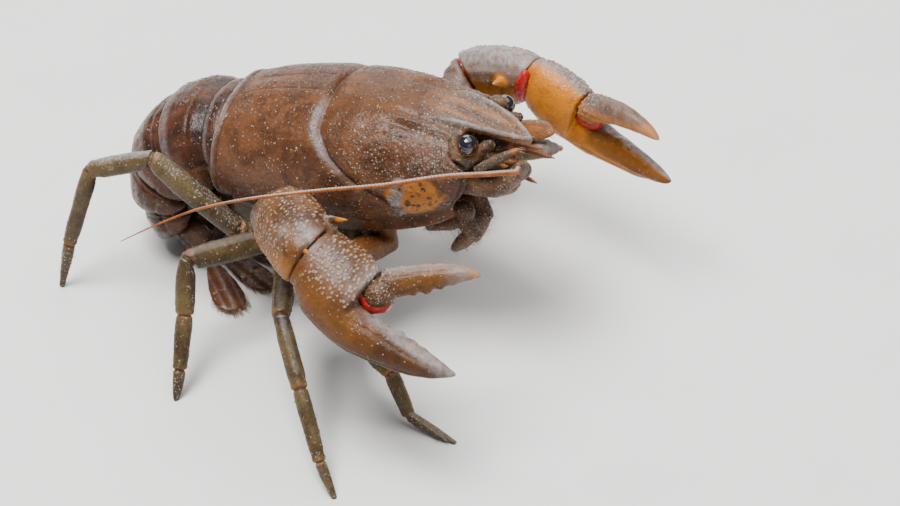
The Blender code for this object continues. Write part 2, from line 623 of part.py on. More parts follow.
def coxa(number, sign):
    """Where a leg's coxa starts, just under the sternum, and where it ends."""
    inner, outer = (2.55, 3.3) if number == 1 else (2.9, 4.2)
    return body(COXA_X[number], sign * inner, STERNUM - GAP), body(COXA_X[number], sign * outer, COXA_LOW[number])


def make_leg(side, sign, number):
    """A walking leg in two nodes: coxa to merus, and carpus to dactyl."""
    root, low = coxa(number, sign)
    ischium, knee, wrist, ankle, tip = (np.array(j, float) for j in LEG_JOINTS[side, number])
    bend = unit(wrist - knee) - unit(knee - ischium)
    plane = unit(np.cross(unit(knee - ischium), bend))
    thick = 1.0 if number < 4 else 1.05
    upper = [[(0, 0.82, 0.82)], [(0.0, 0.82, 0.82), (0.6, 0.76, 0.8)],
             [(0.0, 0.78, 0.85), (0.3, 0.9, 1.0), (0.7, 0.92, 0.98), (0.92, 0.8, 0.86), (1, 0.68, 0.74)]]
    hinge = unit(unit(knee - ischium) + unit(wrist - knee))
    upper = [[(share, w * thick, h * thick) for share, w, h in profile] for profile in upper]
    look = material("leg", LEG_OLIVE)
    half = hinge * GAP / 2
    rings = limb_rings([root, low, ischium, knee - half], upper, plane, 10, start=DOWN, end=hinge)
    loft(f"leg_{number}_{side}_upper", rings, look)
    lower = [[(0, 0.66, 0.72), (0.25, 0.72, 0.8), (0.8, 0.74, 0.8)],
             [(0.0, 0.6, 0.64), (0.2, 0.66, 0.7), (0.8, 0.58, 0.62)],
             [(0.0, 0.46, 0.5), (0.3, 0.45, 0.48), (0.7, 0.33, 0.35), (1, 0.2, 0.22)]]
    lower = [[(share, w * thick, h * thick) for share, w, h in profile] for profile in lower]
    sunk_tip = tip + unit(tip - ankle) * 0.12
    rings = limb_rings([knee + half, wrist, ankle, sunk_tip], lower, plane, 10, start=hinge)
    leg = loft(f"leg_{number}_{side}_lower", rings, look)
    if number < 4:
        above = np.cross(plane, unit(tip - ankle))
        above = above * math.copysign(1, above[2])
        root = ankle + unit(ankle - wrist) * -0.2 + above * 0.22
        fuse(leg, [cone("fixed_finger", root, ankle + (tip - ankle) * 0.95 + above * 0.55, 0.36, 8)])
    rest_on_floor(leg)


def claw_frame(side):
    """Wrist of the claw, and its axis, opening and thickness directions."""
    wrist = np.array(ARM_JOINTS[side][-1], float)
    along = unit(np.array(CLAW_TIP[side]) - wrist)
    opening = np.array(CLAW_UP[side])
    opening = unit(opening - along * np.dot(opening, along))
    return wrist, along, opening, np.cross(along, opening)


def arched(side, table, length, share=1.0):
    """A claw table with its lower edge, and share of its upper edge, arched to that claw's own curve."""
    rise = [CLAW_ARCH[side] * math.sin(math.pi * distance / length) for distance, *_ in table]
    return [(d, low + up, high + up * share, thick) for (d, low, high, thick), up in zip(table, rise)]


def claw_rings(side, stations, sides):
    """Rings of a claw part given as (distance, lower edge, upper edge, half thickness)."""
    wrist, along, opening, flat = claw_frame(side)
    rings = []
    for distance, low, high, thick in stations:
        centre = wrist + along * distance + opening * (low + high) / 2
        rings.append(ellipse(centre, opening * (high - low) / 2, flat * thick, sides))
    return rings


def make_claw(side):
    """Palm with its fixed finger as one node, and the movable finger."""
    wrist, along, opening, flat = claw_frame(side)
    look = material("claw_left", CLAW_ORANGE) if side == "left" else material("claw_right", CLAW_BROWN)
    hand = arched(side, PALM, CLAW_LENGTH, 0)
    fixed = arched(side, FIXED_FINGER, CLAW_LENGTH)
    moving = arched(side, DACTYL, DACTYL_LENGTH)
    palm = loft(f"cheliped_{side}_palm", claw_rings(side, hand, 20), look)
    pieces = [loft("fixed_finger", claw_rings(side, fixed, 14))]
    for distance, size in ((8.4, 0.3), (9.4, 0.45), (10.5, 0.3), (11.6, 0.26), (12.6, 0.22)):
        high = smooth(distance, [(d, top) for d, _, top, _ in fixed])
        place = wrist + along * distance + opening * (high - 0.12)
        pieces.append(ball("tooth", place, (size, size, size), 8))
    fuse(palm, pieces)

    turn = math.radians(CLAW_OPEN[side])
    way = along * math.cos(turn) + opening * math.sin(turn)
    rise = opening * math.cos(turn) - along * math.sin(turn)
    root = wrist + along * DACTYL_ROOT[0] + opening * DACTYL_ROOT[1]
    rings = []
    for distance, low, high, thick in moving:
        centre = root + way * distance + rise * (low + high) / 2
        rings.append(ellipse(centre, rise * (high - low) / 2, flat * thick, 14))
    finger = loft(f"cheliped_{side}_finger", rings, look)
    teeth = []
    for distance, size in ((2.6, 0.3), (3.6, 0.42), (4.7, 0.3), (5.7, 0.24)):
        low = smooth(distance, [(d, bottom) for d, bottom, _, _ in moving])
        teeth.append(ball("tooth", root + way * distance + rise * (low + 0.12), (size, size, size), 8))
    fuse(finger, teeth)
    clear = [(d, low - GAP, high + GAP, thick + GAP) for d, low, high, thick in hand[1:]]
    clear.append((hand[-1][0] + GAP, *clear[-1][1:]))
    carve(finger, [loft("clear", claw_rings(side, clear, 20))])


def make_arm(side, sign):
    """The claw-bearing leg, from its coxa to its wrist."""
    elbow, knuckle, wrist = (np.array(j, float) for j in ARM_JOINTS[side])
    root, low = coxa(1, sign)
    _, along, opening, flat = claw_frame(side)
    look = material("claw_right", CLAW_BROWN) if side == "right" else material("claw_left", CLAW_ORANGE)
    shoulder = unit(unit(elbow - low) + unit(knuckle - elbow))
    bend = unit(unit(knuckle - elbow) + unit(wrist - knuckle))
    base = [[(0, 1.15, 1.2)], [(0.0, 1.2, 1.25), (0.5, 1.2, 1.25), (1, 1.2, 1.25)]]
    plane = unit(np.cross(unit(knuckle - elbow), (0, 0, 1)))
    joints = [root, low, elbow - shoulder * GAP / 2]
    loft(f"cheliped_{side}_base", limb_rings(joints, base, plane, 12, start=DOWN, end=shoulder), look)
    merus = [[(0, 1.2, 1.25), (0.2, 1.4, 1.5), (0.6, 1.7, 1.9), (0.88, 1.8, 2.1), (1.08, 1.5, 1.8)]]
    start = elbow + shoulder * GAP / 2
    rings = limb_rings([start, knuckle], merus, plane, 14, start=shoulder)
    upper = loft(f"cheliped_{side}_merus", rings, look)
    way = unit(knuckle - start)
    mesial = unit(np.cross(way, (0, 0, 1))) * -sign
    spines = []
    for share, lean in ((0.5, 0.4), (0.64, 0.5), (0.78, 0.6)):
        foot = start + (knuckle - start) * share
        out = unit(np.array((0, 0, -1.0)) + mesial * 0.5)
        spines.append(cone("spine", foot + out * 1.2, foot + out * 2.6 + way * lean, 0.42))
    fuse(upper, spines)
    cut_flat(upper, knuckle - bend * GAP / 2, -bend)

    hand = loft(f"cheliped_{side}_carpus", limb_rings([knuckle, wrist], [CARPUS[side]], opening, 16), look)
    way = unit(wrist - knuckle)
    inner = unit(opening - way * np.dot(opening, way))
    middle = knuckle + (wrist - knuckle) * 0.62
    end = knuckle + (wrist - knuckle) * 0.84
    if side == "right":
        long_spine = cone("spine", middle + inner * 2.2, middle + inner * 4.15 + way * 3.4, 0.62, 7)
        short_spine = cone("spine", end + inner * 1.9, end + inner * 3.2 + way * 0.6, 0.4)
        fuse(hand, [long_spine, short_spine])
    else:
        fuse(hand, [cone("spine", end + inner + flat * 1.4, end + inner * 1.6 + flat * 2.75, 0.5)])
    cut_flat(hand, knuckle + bend * GAP / 2, bend)
    cut_flat(hand, wrist - along * GAP / 2, -along)


def main():
    for obj in list(bpy.data.objects):
        bpy.data.objects.remove(obj)
    group = bpy.data.collections.new("crayfish")
    bpy.context.scene.collection.children.link(group)
    make_cephalothorax()
    make_tail_rings()
    make_tail_fan()
    make_eyes()
    make_feelers()
    make_mouth()
    for side, sign in both_sides():
        for number in (2, 3, 4, 5):
            make_leg(side, sign, number)
        make_arm(side, sign)
        make_claw(side)
    stand = bpy.data.objects.new("crayfish", None)
    group.objects.link(stand)
    for obj in group.objects:
        if obj is not stand:
            obj.parent = stand
    stand.location = (-CENTRE_X * MM, -CENTRE_Y * MM, 0)


main()
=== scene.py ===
"""Looks of the Korean crayfish model: shell plates, claws, legs, feelers and eyes.

Each piece is made over the solid that it stands for. A fine even mesh is laid over the
solid and smoothed, then raised and sunk into the grooves, rims, granules and pits of the
real shell. The same functions paint masks on its points, which the materials read.
Sizes are in millimetres until a piece is finished.
"""

import math

import bpy
import numpy as np
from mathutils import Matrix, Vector


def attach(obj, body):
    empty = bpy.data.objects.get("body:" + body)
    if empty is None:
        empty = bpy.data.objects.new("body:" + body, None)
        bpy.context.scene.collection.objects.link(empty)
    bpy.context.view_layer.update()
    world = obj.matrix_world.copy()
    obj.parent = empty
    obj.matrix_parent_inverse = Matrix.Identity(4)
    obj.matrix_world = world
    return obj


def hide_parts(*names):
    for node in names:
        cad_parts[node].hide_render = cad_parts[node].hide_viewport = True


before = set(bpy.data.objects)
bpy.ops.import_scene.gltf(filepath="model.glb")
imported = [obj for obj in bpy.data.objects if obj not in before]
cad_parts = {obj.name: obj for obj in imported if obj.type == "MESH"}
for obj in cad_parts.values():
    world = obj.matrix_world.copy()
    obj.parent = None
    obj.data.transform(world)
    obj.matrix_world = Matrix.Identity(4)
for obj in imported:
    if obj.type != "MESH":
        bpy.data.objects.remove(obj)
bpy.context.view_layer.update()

MM = 0.001
ORIGIN = np.array((7.58, 1.56, 0.0))  # the modelling frame's origin in the row frame

# The body's own frame: x ahead of the carapace's rear edge, y left, z above it
PITCH = math.radians(15)
REAR_TOP = np.array((-18.9, 0.0, 16.5)) + ORIGIN
STERNUM = -8.4

# Carapace, along x in the body's frame, and its margins by the angle from the midline
HALF_WIDTH = [(-2, 5.6), (0, 6.1), (4, 6.75), (8, 6.95), (12, 6.8), (15, 6.3), (18, 5.5), (20, 4.9),
              (22, 4.3)]
TOP = [(-2, -0.2), (0, 0.1), (4, 0.9), (8, 1.15), (10, 1.15), (13, 1.1), (16, 0.6), (19, -0.3), (21, -1),
       (23, -2)]
WIDEST = [(-2, -5), (8, -5.2), (14, -5.0), (18, -4.7), (22, -4.2)]
KEEL = [(-2, -7.9), (0, -8.2), (4, -9.0), (8, -9.5), (13, -9.7), (17, -9.4), (20, -8.5), (22, -7.2)]
REAR_EDGE = [(0, 0), (30, -0.1), (60, -0.4), (90, -0.8), (110, -0.8), (130, -0.4), (150, 0.2), (180, 0.5)]
GROOVE = [(0, 9.9), (40, 9.9), (60, 11.0), (80, 13.0), (95, 14.8), (110, 16.0), (130, 15.4), (180, 13.0)]
FRONT_EDGE = [(0, 22), (30, 21.6), (45, 20.8), (60, 20.7), (72, 21.35), (82, 22.1), (100, 22.0),
              (115, 21.3), (130, 20.2), (145, 19.3), (160, 18.8), (180, 18.7)]
ROSTRUM_HALF = [(17.6, 1.9), (19.5, 2.1), (21.2, 1.98), (22.6, 1.72), (24.0, 1.3), (25.2, 0.7), (25.9, 0.12)]

# Clods of mud on the right cheek: place in the body's frame, and radius
CHEEK_CLODS = [(16.75, -5.85, -4.2, 0.42), (16.3, -5.95, -4.95, 0.4), (15.95, -5.95, -5.7, 0.42),
               (15.85, -5.8, -6.3, 0.36), (16.05, -5.5, -6.95, 0.4)]

EYE_RADIUS = 0.8
EYE_LEVEL = {"right": -1.85, "left": -2.6}
# Flesh round each eye, in the body's frame: a place, by its distance beside the midline and at the right
# eye's level, and its radius
EYE_FLESH = [(20.9, 2.5, -1.5, 0.4), (20.8, 3.0, -2.2, 0.62), (21.0, 3.35, -2.85, 0.74),
             (21.7, 3.2, -3.3, 0.76), (22.5, 2.9, -3.1, 0.66), (23.1, 2.6, -2.55, 0.52),
             (23.9, 2.35, -2.2, 0.3)]

# Tail: dorsal heading at its start, then length, turn, half width and height of each ring
TAIL_ROOT = (0.4, 0.0, -4.4)
TAIL_HEADING = 15
TAIL_RINGS = [(1.8, 4, 5.0, 4.15), (3.2, 20, 5.4, 4.6), (2.75, 30, 5.4, 4.6),
              (2.4, 33, 5.25, 4.4), (2.3, 33, 4.95, 4.0), (3.0, 32, 4.5, 3.3)]

# Antennae: the route of each from the end of its base
ANTENNA_ROUTE = {
    "right": [(7.78, -4.2, 20.58), (7.85, -4.55, 20.27), (7.35, -5.3, 20.64), (5.86, -6.8, 21.03),
              (4.04, -8.3, 21.43), (2.06, -9.8, 21.45), (-0.46, -11.55, 21.24), (-3.37, -13.35, 21.28),
              (-6.73, -15.1, 20.92), (-10.45, -16.7, 20.16), (-14.6, -18.1, 18.42), (-18.93, -19.3, 15.12)],
    "left": [(7.6, 3.75, 16.6), (7.7, 4.4, 16.1), (6.6, 5.2, 15.2), (4.4, 6.6, 14.1), (1.5, 8.0, 13.3),
             (-1.8, 9.2, 13.2), (-5.2, 10.0, 13.4), (-8.8, 10.4, 12.6), (-12.6, 10.6, 11.6),
             (-16.2, 10.6, 11.1), (-19.6, 10.5, 10.9)],
}
PEDUNCLE_END = {"right": (26.25, -3.0, -4.1), "left": (25.1, 2.8, -6.25)}  # last joint of its base
ANTENNA_RADII = (0.24, 0.175, 0.11, 0.035)  # at the base, at 0.35 and 0.75 of its length, and at the tip
ANNULUS = 0.3  # length of one ring of the antenna

# Walking legs: the x of each coxa and the level of its end in the body's frame, then the places of the
# ischium, knee, wrist, ankle and tip
COXA_X = {2: 9.8, 3: 7.85, 4: 5.9, 5: 3.75}
COXA_LOW = -12.0
LEG_JOINTS = {
    ("right", 2): [(-5.4, -6.8, 5.6), (-3.2, -12.4, 6.9), (0.98, -13.0, 4.1), (2.95, -13.9, 1.0),
                   (7.07, -14.3, 0)],
    ("right", 3): [(-10.3, -8.0, 8.9), (-6.9, -16.1, 9.3), (-3.6, -19.6, 5.9), (-0.5, -22.6, 2.0),
                   (1.3, -23.8, 0)],
    ("right", 4): [(-12.6, -7.0, 8.2), (-16.7, -13.0, 9.15), (-16.0, -15.2, 5.5), (-15.2, -17.8, 2.1),
                   (-15.0, -19.0, 0)],
    ("right", 5): [(-15.4, -7.2, 8.5), (-22.7, -7.3, 13.2), (-27.8, -8.4, 11.2), (-29.3, -10.0, 4.2),
                   (-29.9, -10.7, 0)],
    ("left", 2): [(-5.4, 6.8, 5.3), (-3.4, 12.4, 7.3), (-2.6, 15.0, 5.0), (-2.6, 16.4, 2.2), (-2.9, 17.0, 0)],
    ("left", 3): [(-10.0, 7.8, 8.4), (-9.6, 14.0, 9.6), (-9.0, 17.2, 6.6), (-8.8, 19.6, 2.8),
                  (-8.9, 20.6, 0)],
    ("left", 4): [(-12.0, 7.2, 7.8), (-16.0, 12.0, 9.2), (-17.4, 14.6, 6.2), (-18.6, 17.2, 2.6),
                  (-19.2, 18.3, 0)],
    ("left", 5): [(-15.2, 6.9, 7.8), (-21.0, 9.5, 9.5), (-24.0, 11.6, 6.8), (-26.0, 13.6, 2.8),
                  (-26.8, 14.5, 0)],
}

# Claw arms: elbow, knuckle and wrist, then the claw's own directions
ARM_JOINTS = {
    "right": [(-5.2, -7.5, 9.5), (-9.6, -12.2, 15.0), (-4.6, -15.8, 16.0)],
    "left": [(-5.0, 8.3, 9.8), (-4.9, 14.2, 12.7), (1.07, 13.4, 14.58)],
}
CLAW_TIP = {"right": (9.3, -18.4, 11.1), "left": (15.03, 9.5, 11.43)}
CLAW_UP = {"right": (0.32, 0.72, 0.62), "left": (0.14, -0.26, 0.955)}
CLAW_OPEN = {"right": 43, "left": 20}
DACTYL_ROOT = (5.85, 1.6)
DACTYL_LENGTH = 7.9

# Body wall between the coxae, in the body's frame
WALL_START, WALL_LENGTH = -1.3, 13.9
WALL_BESIDE = 3.3
WALL_LEVEL = -10.2
WALL_DEPTH = 1.5

# Spacing of the fine meshes' points
VOXEL = {"carapace": 0.1, "tail": 0.11, "fan": 0.07, "palm": 0.08, "finger": 0.07, "arm": 0.1,
         "leg": 0.08, "eyestalk": 0.05, "antenna_base": 0.07, "antennal_scale": 0.05, "antennule": 0.05,
         "maxilliped": 0.07, "mandibles": 0.07}

# Camera: where the photograph was taken from
CAMERA_AZIMUTH = math.radians(25)
CAMERA_HEIGHT = math.radians(40)
CAMERA_DISTANCE = 330
CAMERA_TARGET = np.array((7.58, 1.56, 6.0))
CAMERA_LENS = 165

# Lights: name, place in metres, width and power
LIGHTS = [("key", (-0.08, -0.10, 0.45), 0.2, 4.4), ("sky", (0.05, 0.1, 0.55), 0.6, 3.6),
          ("fill", (0.35, -0.3, 0.2), 0.35, 0.4), ("back", (-0.25, 0.4, 0.25), 0.3, 1.2)]
WORLD_LIGHT = (0.85, 0.9, 1.0, 1)
WORLD_POWER = 0.22

# Colours as (red, green, blue), linear
BROWN_DARK = (0.046, 0.018, 0.008)
BROWN = (0.104, 0.040, 0.017)
ORANGE = (0.400, 0.135, 0.012)
TAIL_DARK = (0.024, 0.009, 0.005)
TAIL_BROWN = (0.070, 0.025, 0.012)
TAIL_WARM = (0.160, 0.056, 0.018)
CLAW_DARK = (0.052, 0.019, 0.006)
CLAW_BROWN = (0.112, 0.044, 0.012)
CLAW_ORANGE = (0.460, 0.150, 0.010)
OLIVE = (0.086, 0.058, 0.022)
OLIVE_DARK = (0.036, 0.023, 0.012)
JOINT_ORANGE = (0.260, 0.080, 0.016)
MOUTH_DARK = (0.044, 0.026, 0.015)
MOUTH_BROWN = (0.120, 0.072, 0.040)
MUD_GREY = (0.175, 0.153, 0.128)
# Pale of the mud, also used as the painted highlight on the antenna rings
PALE_MUD_AND_SHEEN = (0.320, 0.288, 0.248)
# Greyish of mud clods and of the spines' bases, and the painted sheen of wet highlights
GREY_AND_SHEEN = (0.300, 0.272, 0.265)
KNOB_PALE = (0.360, 0.285, 0.215)
RED = (0.380, 0.014, 0.010)
DEEP_RED = (0.150, 0.006, 0.006)
PINK = (0.600, 0.200, 0.150)
# Black of the shell's spots, also used as painted shade in grooves, slits and under the parts
SPOT_AND_SHADE_BLACK = (0.018, 0.012, 0.009)
FEELER_ORANGE = (0.300, 0.075, 0.005)
FEELER_BROWN = (0.150, 0.040, 0.007)
EYE_BLACK = (0.006, 0.005, 0.008)
EYE_SHEEN = (0.020, 0.014, 0.018)
BRISTLE_BROWN = (0.16, 0.09, 0.04)
BRISTLE_PALE = (0.42, 0.31, 0.20)
FLOOR_GREY = (0.66, 0.65, 0.63)
FLOOR_PALE = (0.72, 0.71, 0.69)

# Sizes in the materials: the shell's fine pits and the eye's facets
PIT_CELL = 0.21
FACET = 0.035


def row(point):
    """A point of the modelling frame in the row frame, in millimetres."""
    return np.asarray(point, float) + ORIGIN


def unit(v):
    v = np.asarray(v, float)
    return v / np.linalg.norm(v)


def body_axes():
    c, s = math.cos(PITCH), math.sin(PITCH)
    return np.array(((c, 0, -s), (0, 1, 0), (s, 0, c)))


def body(x, y, z):
    """The point for a place in the body's frame."""
    return REAR_TOP + body_axes() @ np.array((x, y, z), float)


def in_body(points):
    """Places in the body's frame of an array of points."""
    return ((points - REAR_TOP) @ body_axes()).T


def along(x, table):
    """Straight interpolation in a table of (x, value)."""
    xs, ys = zip(*table)
    return np.interp(x, xs, ys)


def step(value, low, high):
    """0 below low, 1 above high and smooth between; low may be the greater."""
    t = np.clip((value - low) / (high - low), 0, 1)
    return t * t * (3 - 2 * t)


def ridge(distance, half):
    """1 at distance 0, falling smoothly to nothing at about twice half."""
    return np.exp(-(distance / half) ** 2)


def most(*masks):
    """The greatest of the masks at each point."""
    return np.maximum.reduce(masks)


# Noise that is the same on each run

def cell_number(cell, seed):
    """A number from 0 to 1 for each whole-number cell."""
    n = (cell[:, 0] * 73856093 ^ cell[:, 1] * 19349663 ^ cell[:, 2] * 83492791 ^ seed * 15485863) & 0xFFFFFFFF
    n = ((n ^ (n >> 15)) * 2246822519) & 0xFFFFFFFF
    n = ((n ^ (n >> 13)) * 3266489917) & 0xFFFFFFFF
    return (n ^ (n >> 16)) / 4294967296.0


def noise(points, size, seed=0):
    """Smooth noise from -1 to 1, its lumps about size across."""
    q = points / size
    base = np.floor(q).astype(np.int64)
    f = q - base
    f = f * f * (3 - 2 * f)
    total = np.zeros(len(points))
    for corner in np.ndindex(2, 2, 2):
        weight = np.prod(np.where(corner, f, 1 - f), axis=1)
        total += weight * cell_number(base + np.array(corner), seed)
    return total * 2 - 1


def fractal(points, size, seed=0):
    """Noise in three octaves, each half the size and height of the one before."""
    return sum(noise(points, size / 2**i, seed + i) / 2**i for i in range(3))


def grains(points, size, radius, seed, share):
    """Rounded grains from 0 to 1 high, one in that share of the cells of that size."""
    q = points / size
    base = np.floor(q).astype(np.int64)
    height = np.zeros(len(points))
    for offset in np.ndindex(3, 3, 3):
        cell = base + np.array(offset) - 1
        centre = cell + 0.5
        for axis in range(3):
            centre[:, axis] += 0.7 * (cell_number(cell, seed + axis) - 0.5)
        reach = radius * (0.65 + 0.6 * cell_number(cell, seed + 3)) / size
        near = 1 - ((q - centre) ** 2).sum(axis=1) / reach**2
        near[cell_number(cell, seed + 4) > share] = 0
        height = np.maximum(height, near)
    return height


# Fine meshes over the solids

class Form:
    """A fine mesh in millimetres: its object, points, normals, edges and painted masks."""

    def __init__(self, name, voxel, node, extras=()):
        mesh = join_shapes("joined", [solid(node), *extras])
        self.object = bpy.data.objects.new(name, mesh)
        bpy.context.scene.collection.objects.link(self.object)
        remesh = self.object.modifiers.new("remesh", "REMESH")
        remesh.mode = "VOXEL"
        remesh.voxel_size = voxel
        graph = bpy.context.evaluated_depsgraph_get()
        fine = bpy.data.meshes.new_from_object(self.object.evaluated_get(graph))
        self.object.modifiers.clear()
        self.object.data = fine
        bpy.data.meshes.remove(mesh)
        fine.name = name
        count = len(fine.vertices)
        self.points = np.empty(count * 3)
        fine.vertices.foreach_get("co", self.points)
        self.points = self.points.reshape(-1, 3)
        self.edges = np.empty(len(fine.edges) * 2, np.int64)
        fine.edges.foreach_get("vertices", self.edges)
        self.edges = self.edges.reshape(-1, 2)
        self.degree = np.bincount(self.edges.ravel(), minlength=count)
        self.masks = {}
        self.find_normals()

    def find_normals(self):
        mesh = self.object.data
        mesh.vertices.foreach_set("co", self.points.ravel())
        mesh.update()
        normals = np.empty(len(self.points) * 3)
        mesh.vertex_normals.foreach_get("vector", normals)
        self.normals = normals.reshape(-1, 3)

    def average(self, values):
        """Each point's neighbours averaged."""
        a, b = self.edges.T
        total = np.bincount(a, values[b], len(values)) + np.bincount(b, values[a], len(values))
        return total / self.degree

    def relax(self, steps):
        """Rounds off the solid's facets without shrinking the form."""
        before = self.points.copy()
        for _ in range(steps):
            for axis in range(3):
                self.points[:, axis] += 0.5 * (self.average(self.points[:, axis]) - self.points[:, axis])
        self.find_normals()
        lost = ((before - self.points) * self.normals).sum(axis=1)
        for _ in range(2 * steps):
            lost += 0.5 * (self.average(lost) - lost)
        self.points += self.normals * lost[:, None]
        self.find_normals()
        return self

    def lift(self, height):
        """Moves the points out along their normals."""
        self.points += self.normals * height[:, None]

    def paint(self, **masks):
        for name, values in masks.items():
            old = self.masks.get(name, np.zeros(len(self.points)))
            self.masks[name] = np.clip(np.maximum(old, values), 0, 1)

    def finish(self, look, slot, *nodes):
        """Makes the piece real size, with its masks, material and body; the slot is not used."""
        mesh = self.object.data
        mesh.vertices.foreach_set("co", (self.points * MM).ravel())
        for name, values in self.masks.items():
            attribute = mesh.attributes.new(name, "FLOAT", "POINT")
            attribute.data.foreach_set("value", values.astype(np.float32))
        mesh.materials.clear()
        mesh.materials.append(look)
        mesh.update()
        mesh.shade_smooth()
        settle(self.object, slot, *nodes)


def settle(piece, slot, *nodes):
    """Says which body carries a piece and which nodes it stands for; the slot is not used."""
    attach(piece, "root")
    if nodes:
        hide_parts(*nodes)


def solid(node):
    """Points and faces of a node's solid in millimetres, its corners welded."""
    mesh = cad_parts[node].data
    co = np.empty(len(mesh.vertices) * 3)
    mesh.vertices.foreach_get("co", co)
    keys, index = np.unique(np.round(co.reshape(-1, 3) / MM, 4), axis=0, return_inverse=True)
    index = index.ravel()
    faces = [[int(index[v]) for v in polygon.vertices] for polygon in mesh.polygons]
    return keys, [corners for corners in faces if len(set(corners)) > 2]


def join_shapes(name, shapes, scale=1.0):
    """One mesh from several closed (points, faces)."""
    faces, count = [], 0
    for some_points, some_faces in shapes:
        faces += [[v + count for v in face] for face in some_faces]
        count += len(some_points)
    mesh = bpy.data.meshes.new(name)
    points = np.concatenate([some_points for some_points, _ in shapes])
    mesh.from_pydata((points * scale).tolist(), [], faces)
    return mesh


def tube(centres, radii, sides, across=None, flatten=1.0):
    """Points and faces of a closed tube through centres, with a radius at each."""
    centres = np.asarray(centres, float)
    ways = np.gradient(centres, axis=0)
    ways /= np.linalg.norm(ways, axis=1)[:, None]
    side = np.array((0.3, 0.5, 0.81)) if across is None else np.asarray(across, float)
    turn = np.arange(sides) * 2 * math.pi / sides
    rings = []
    for centre, way, radius in zip(centres, ways, radii):
        side = unit(side - way * np.dot(side, way))
        up = np.cross(way, side) * flatten
        rings.append(centre + radius * (np.outer(np.cos(turn), side) + np.outer(np.sin(turn), up)))
    points = np.concatenate(rings)
    faces = []
    for r in range(len(rings) - 1):
        for j in range(sides):
            k = (j + 1) % sides
            faces.append((r * sides + j, r * sides + k, (r + 1) * sides + k, (r + 1) * sides + j))
    last = (len(rings) - 1) * sides
    faces += [tuple(range(sides))[::-1], tuple(range(last, last + sides))]
    return points, faces


def ball(centre, radii, axes=None, segments=32):
    """Points and faces of a closed ellipsoid."""
    axes = np.eye(3) if axes is None else np.asarray(axes, float)
    rings = segments // 2
    points = [(0, 0, 1)]
    for i in range(1, rings):
        a = math.pi * i / rings
        points += [(math.sin(a) * math.cos(b), math.sin(a) * math.sin(b), math.cos(a))
                   for b in np.arange(segments) * 2 * math.pi / segments]
    points.append((0, 0, -1))
    faces = [(0, 1 + j, 1 + (j + 1) % segments) for j in range(segments)]
    for i in range(rings - 2):
        top, low = 1 + i * segments, 1 + (i + 1) * segments
        faces += [(top + j, low + j, low + (j + 1) % segments, top + (j + 1) % segments)
                  for j in range(segments)]
    top, end = 1 + (rings - 2) * segments, len(points) - 1
    faces += [(top + j, end, top + (j + 1) % segments) for j in range(segments)]
    return np.asarray(centre) + (np.array(points) * radii) @ axes, faces


def rumpled(centre, radii, axes, depth=0.07):
    """A ball of soft skin, its surface in folds."""
    points, faces = ball(centre, radii, axes, 64)
    out = points - centre
    out /= np.linalg.norm(out, axis=1)[:, None]
    return points + out * (depth * fractal(points, 0.5, 71))[:, None], faces


def plain_piece(name, shapes, look, slot, *nodes):
    """A piece from several closed (points, faces) in millimetres."""
    mesh = join_shapes(name, shapes, MM)
    mesh.materials.append(look)
    mesh.shade_smooth()
    piece = bpy.data.objects.new(name, mesh)
    bpy.context.scene.collection.objects.link(piece)
    settle(piece, slot, *nodes)
    return piece


def mark(piece, name, values):
    """Gives a piece one of the masks that the materials read."""
    attribute = piece.data.attributes.new(name, "FLOAT", "POINT")
    attribute.data.foreach_set("value", np.asarray(values, np.float32))


def hairs(roots, ways, lengths, width, droop=0.25):
    """Tapered three-sided bristles, each bent towards the floor a little."""
    shapes = []
    for root, way, length in zip(roots, ways, lengths):
        way = unit(way)
        middle = root + way * length * 0.55
        tip = root + way * length + np.array((0, 0, -droop * length))
        tip[2] = max(tip[2], 0.03)
        middle[2] = max(middle[2], 0.03)
        shapes.append(tube([root - way * 0.08, middle, tip], (width, width * 0.7, width * 0.12), 3))
    return shapes


def picked(form, weight, count, seed):
    """Places, normals and indices of count points drawn by weight."""
    chance = np.clip(weight, 0, None)
    index = np.random.default_rng(seed).choice(len(chance), count, replace=False, p=chance / chance.sum())
    return form.points[index], form.normals[index], index


# Materials

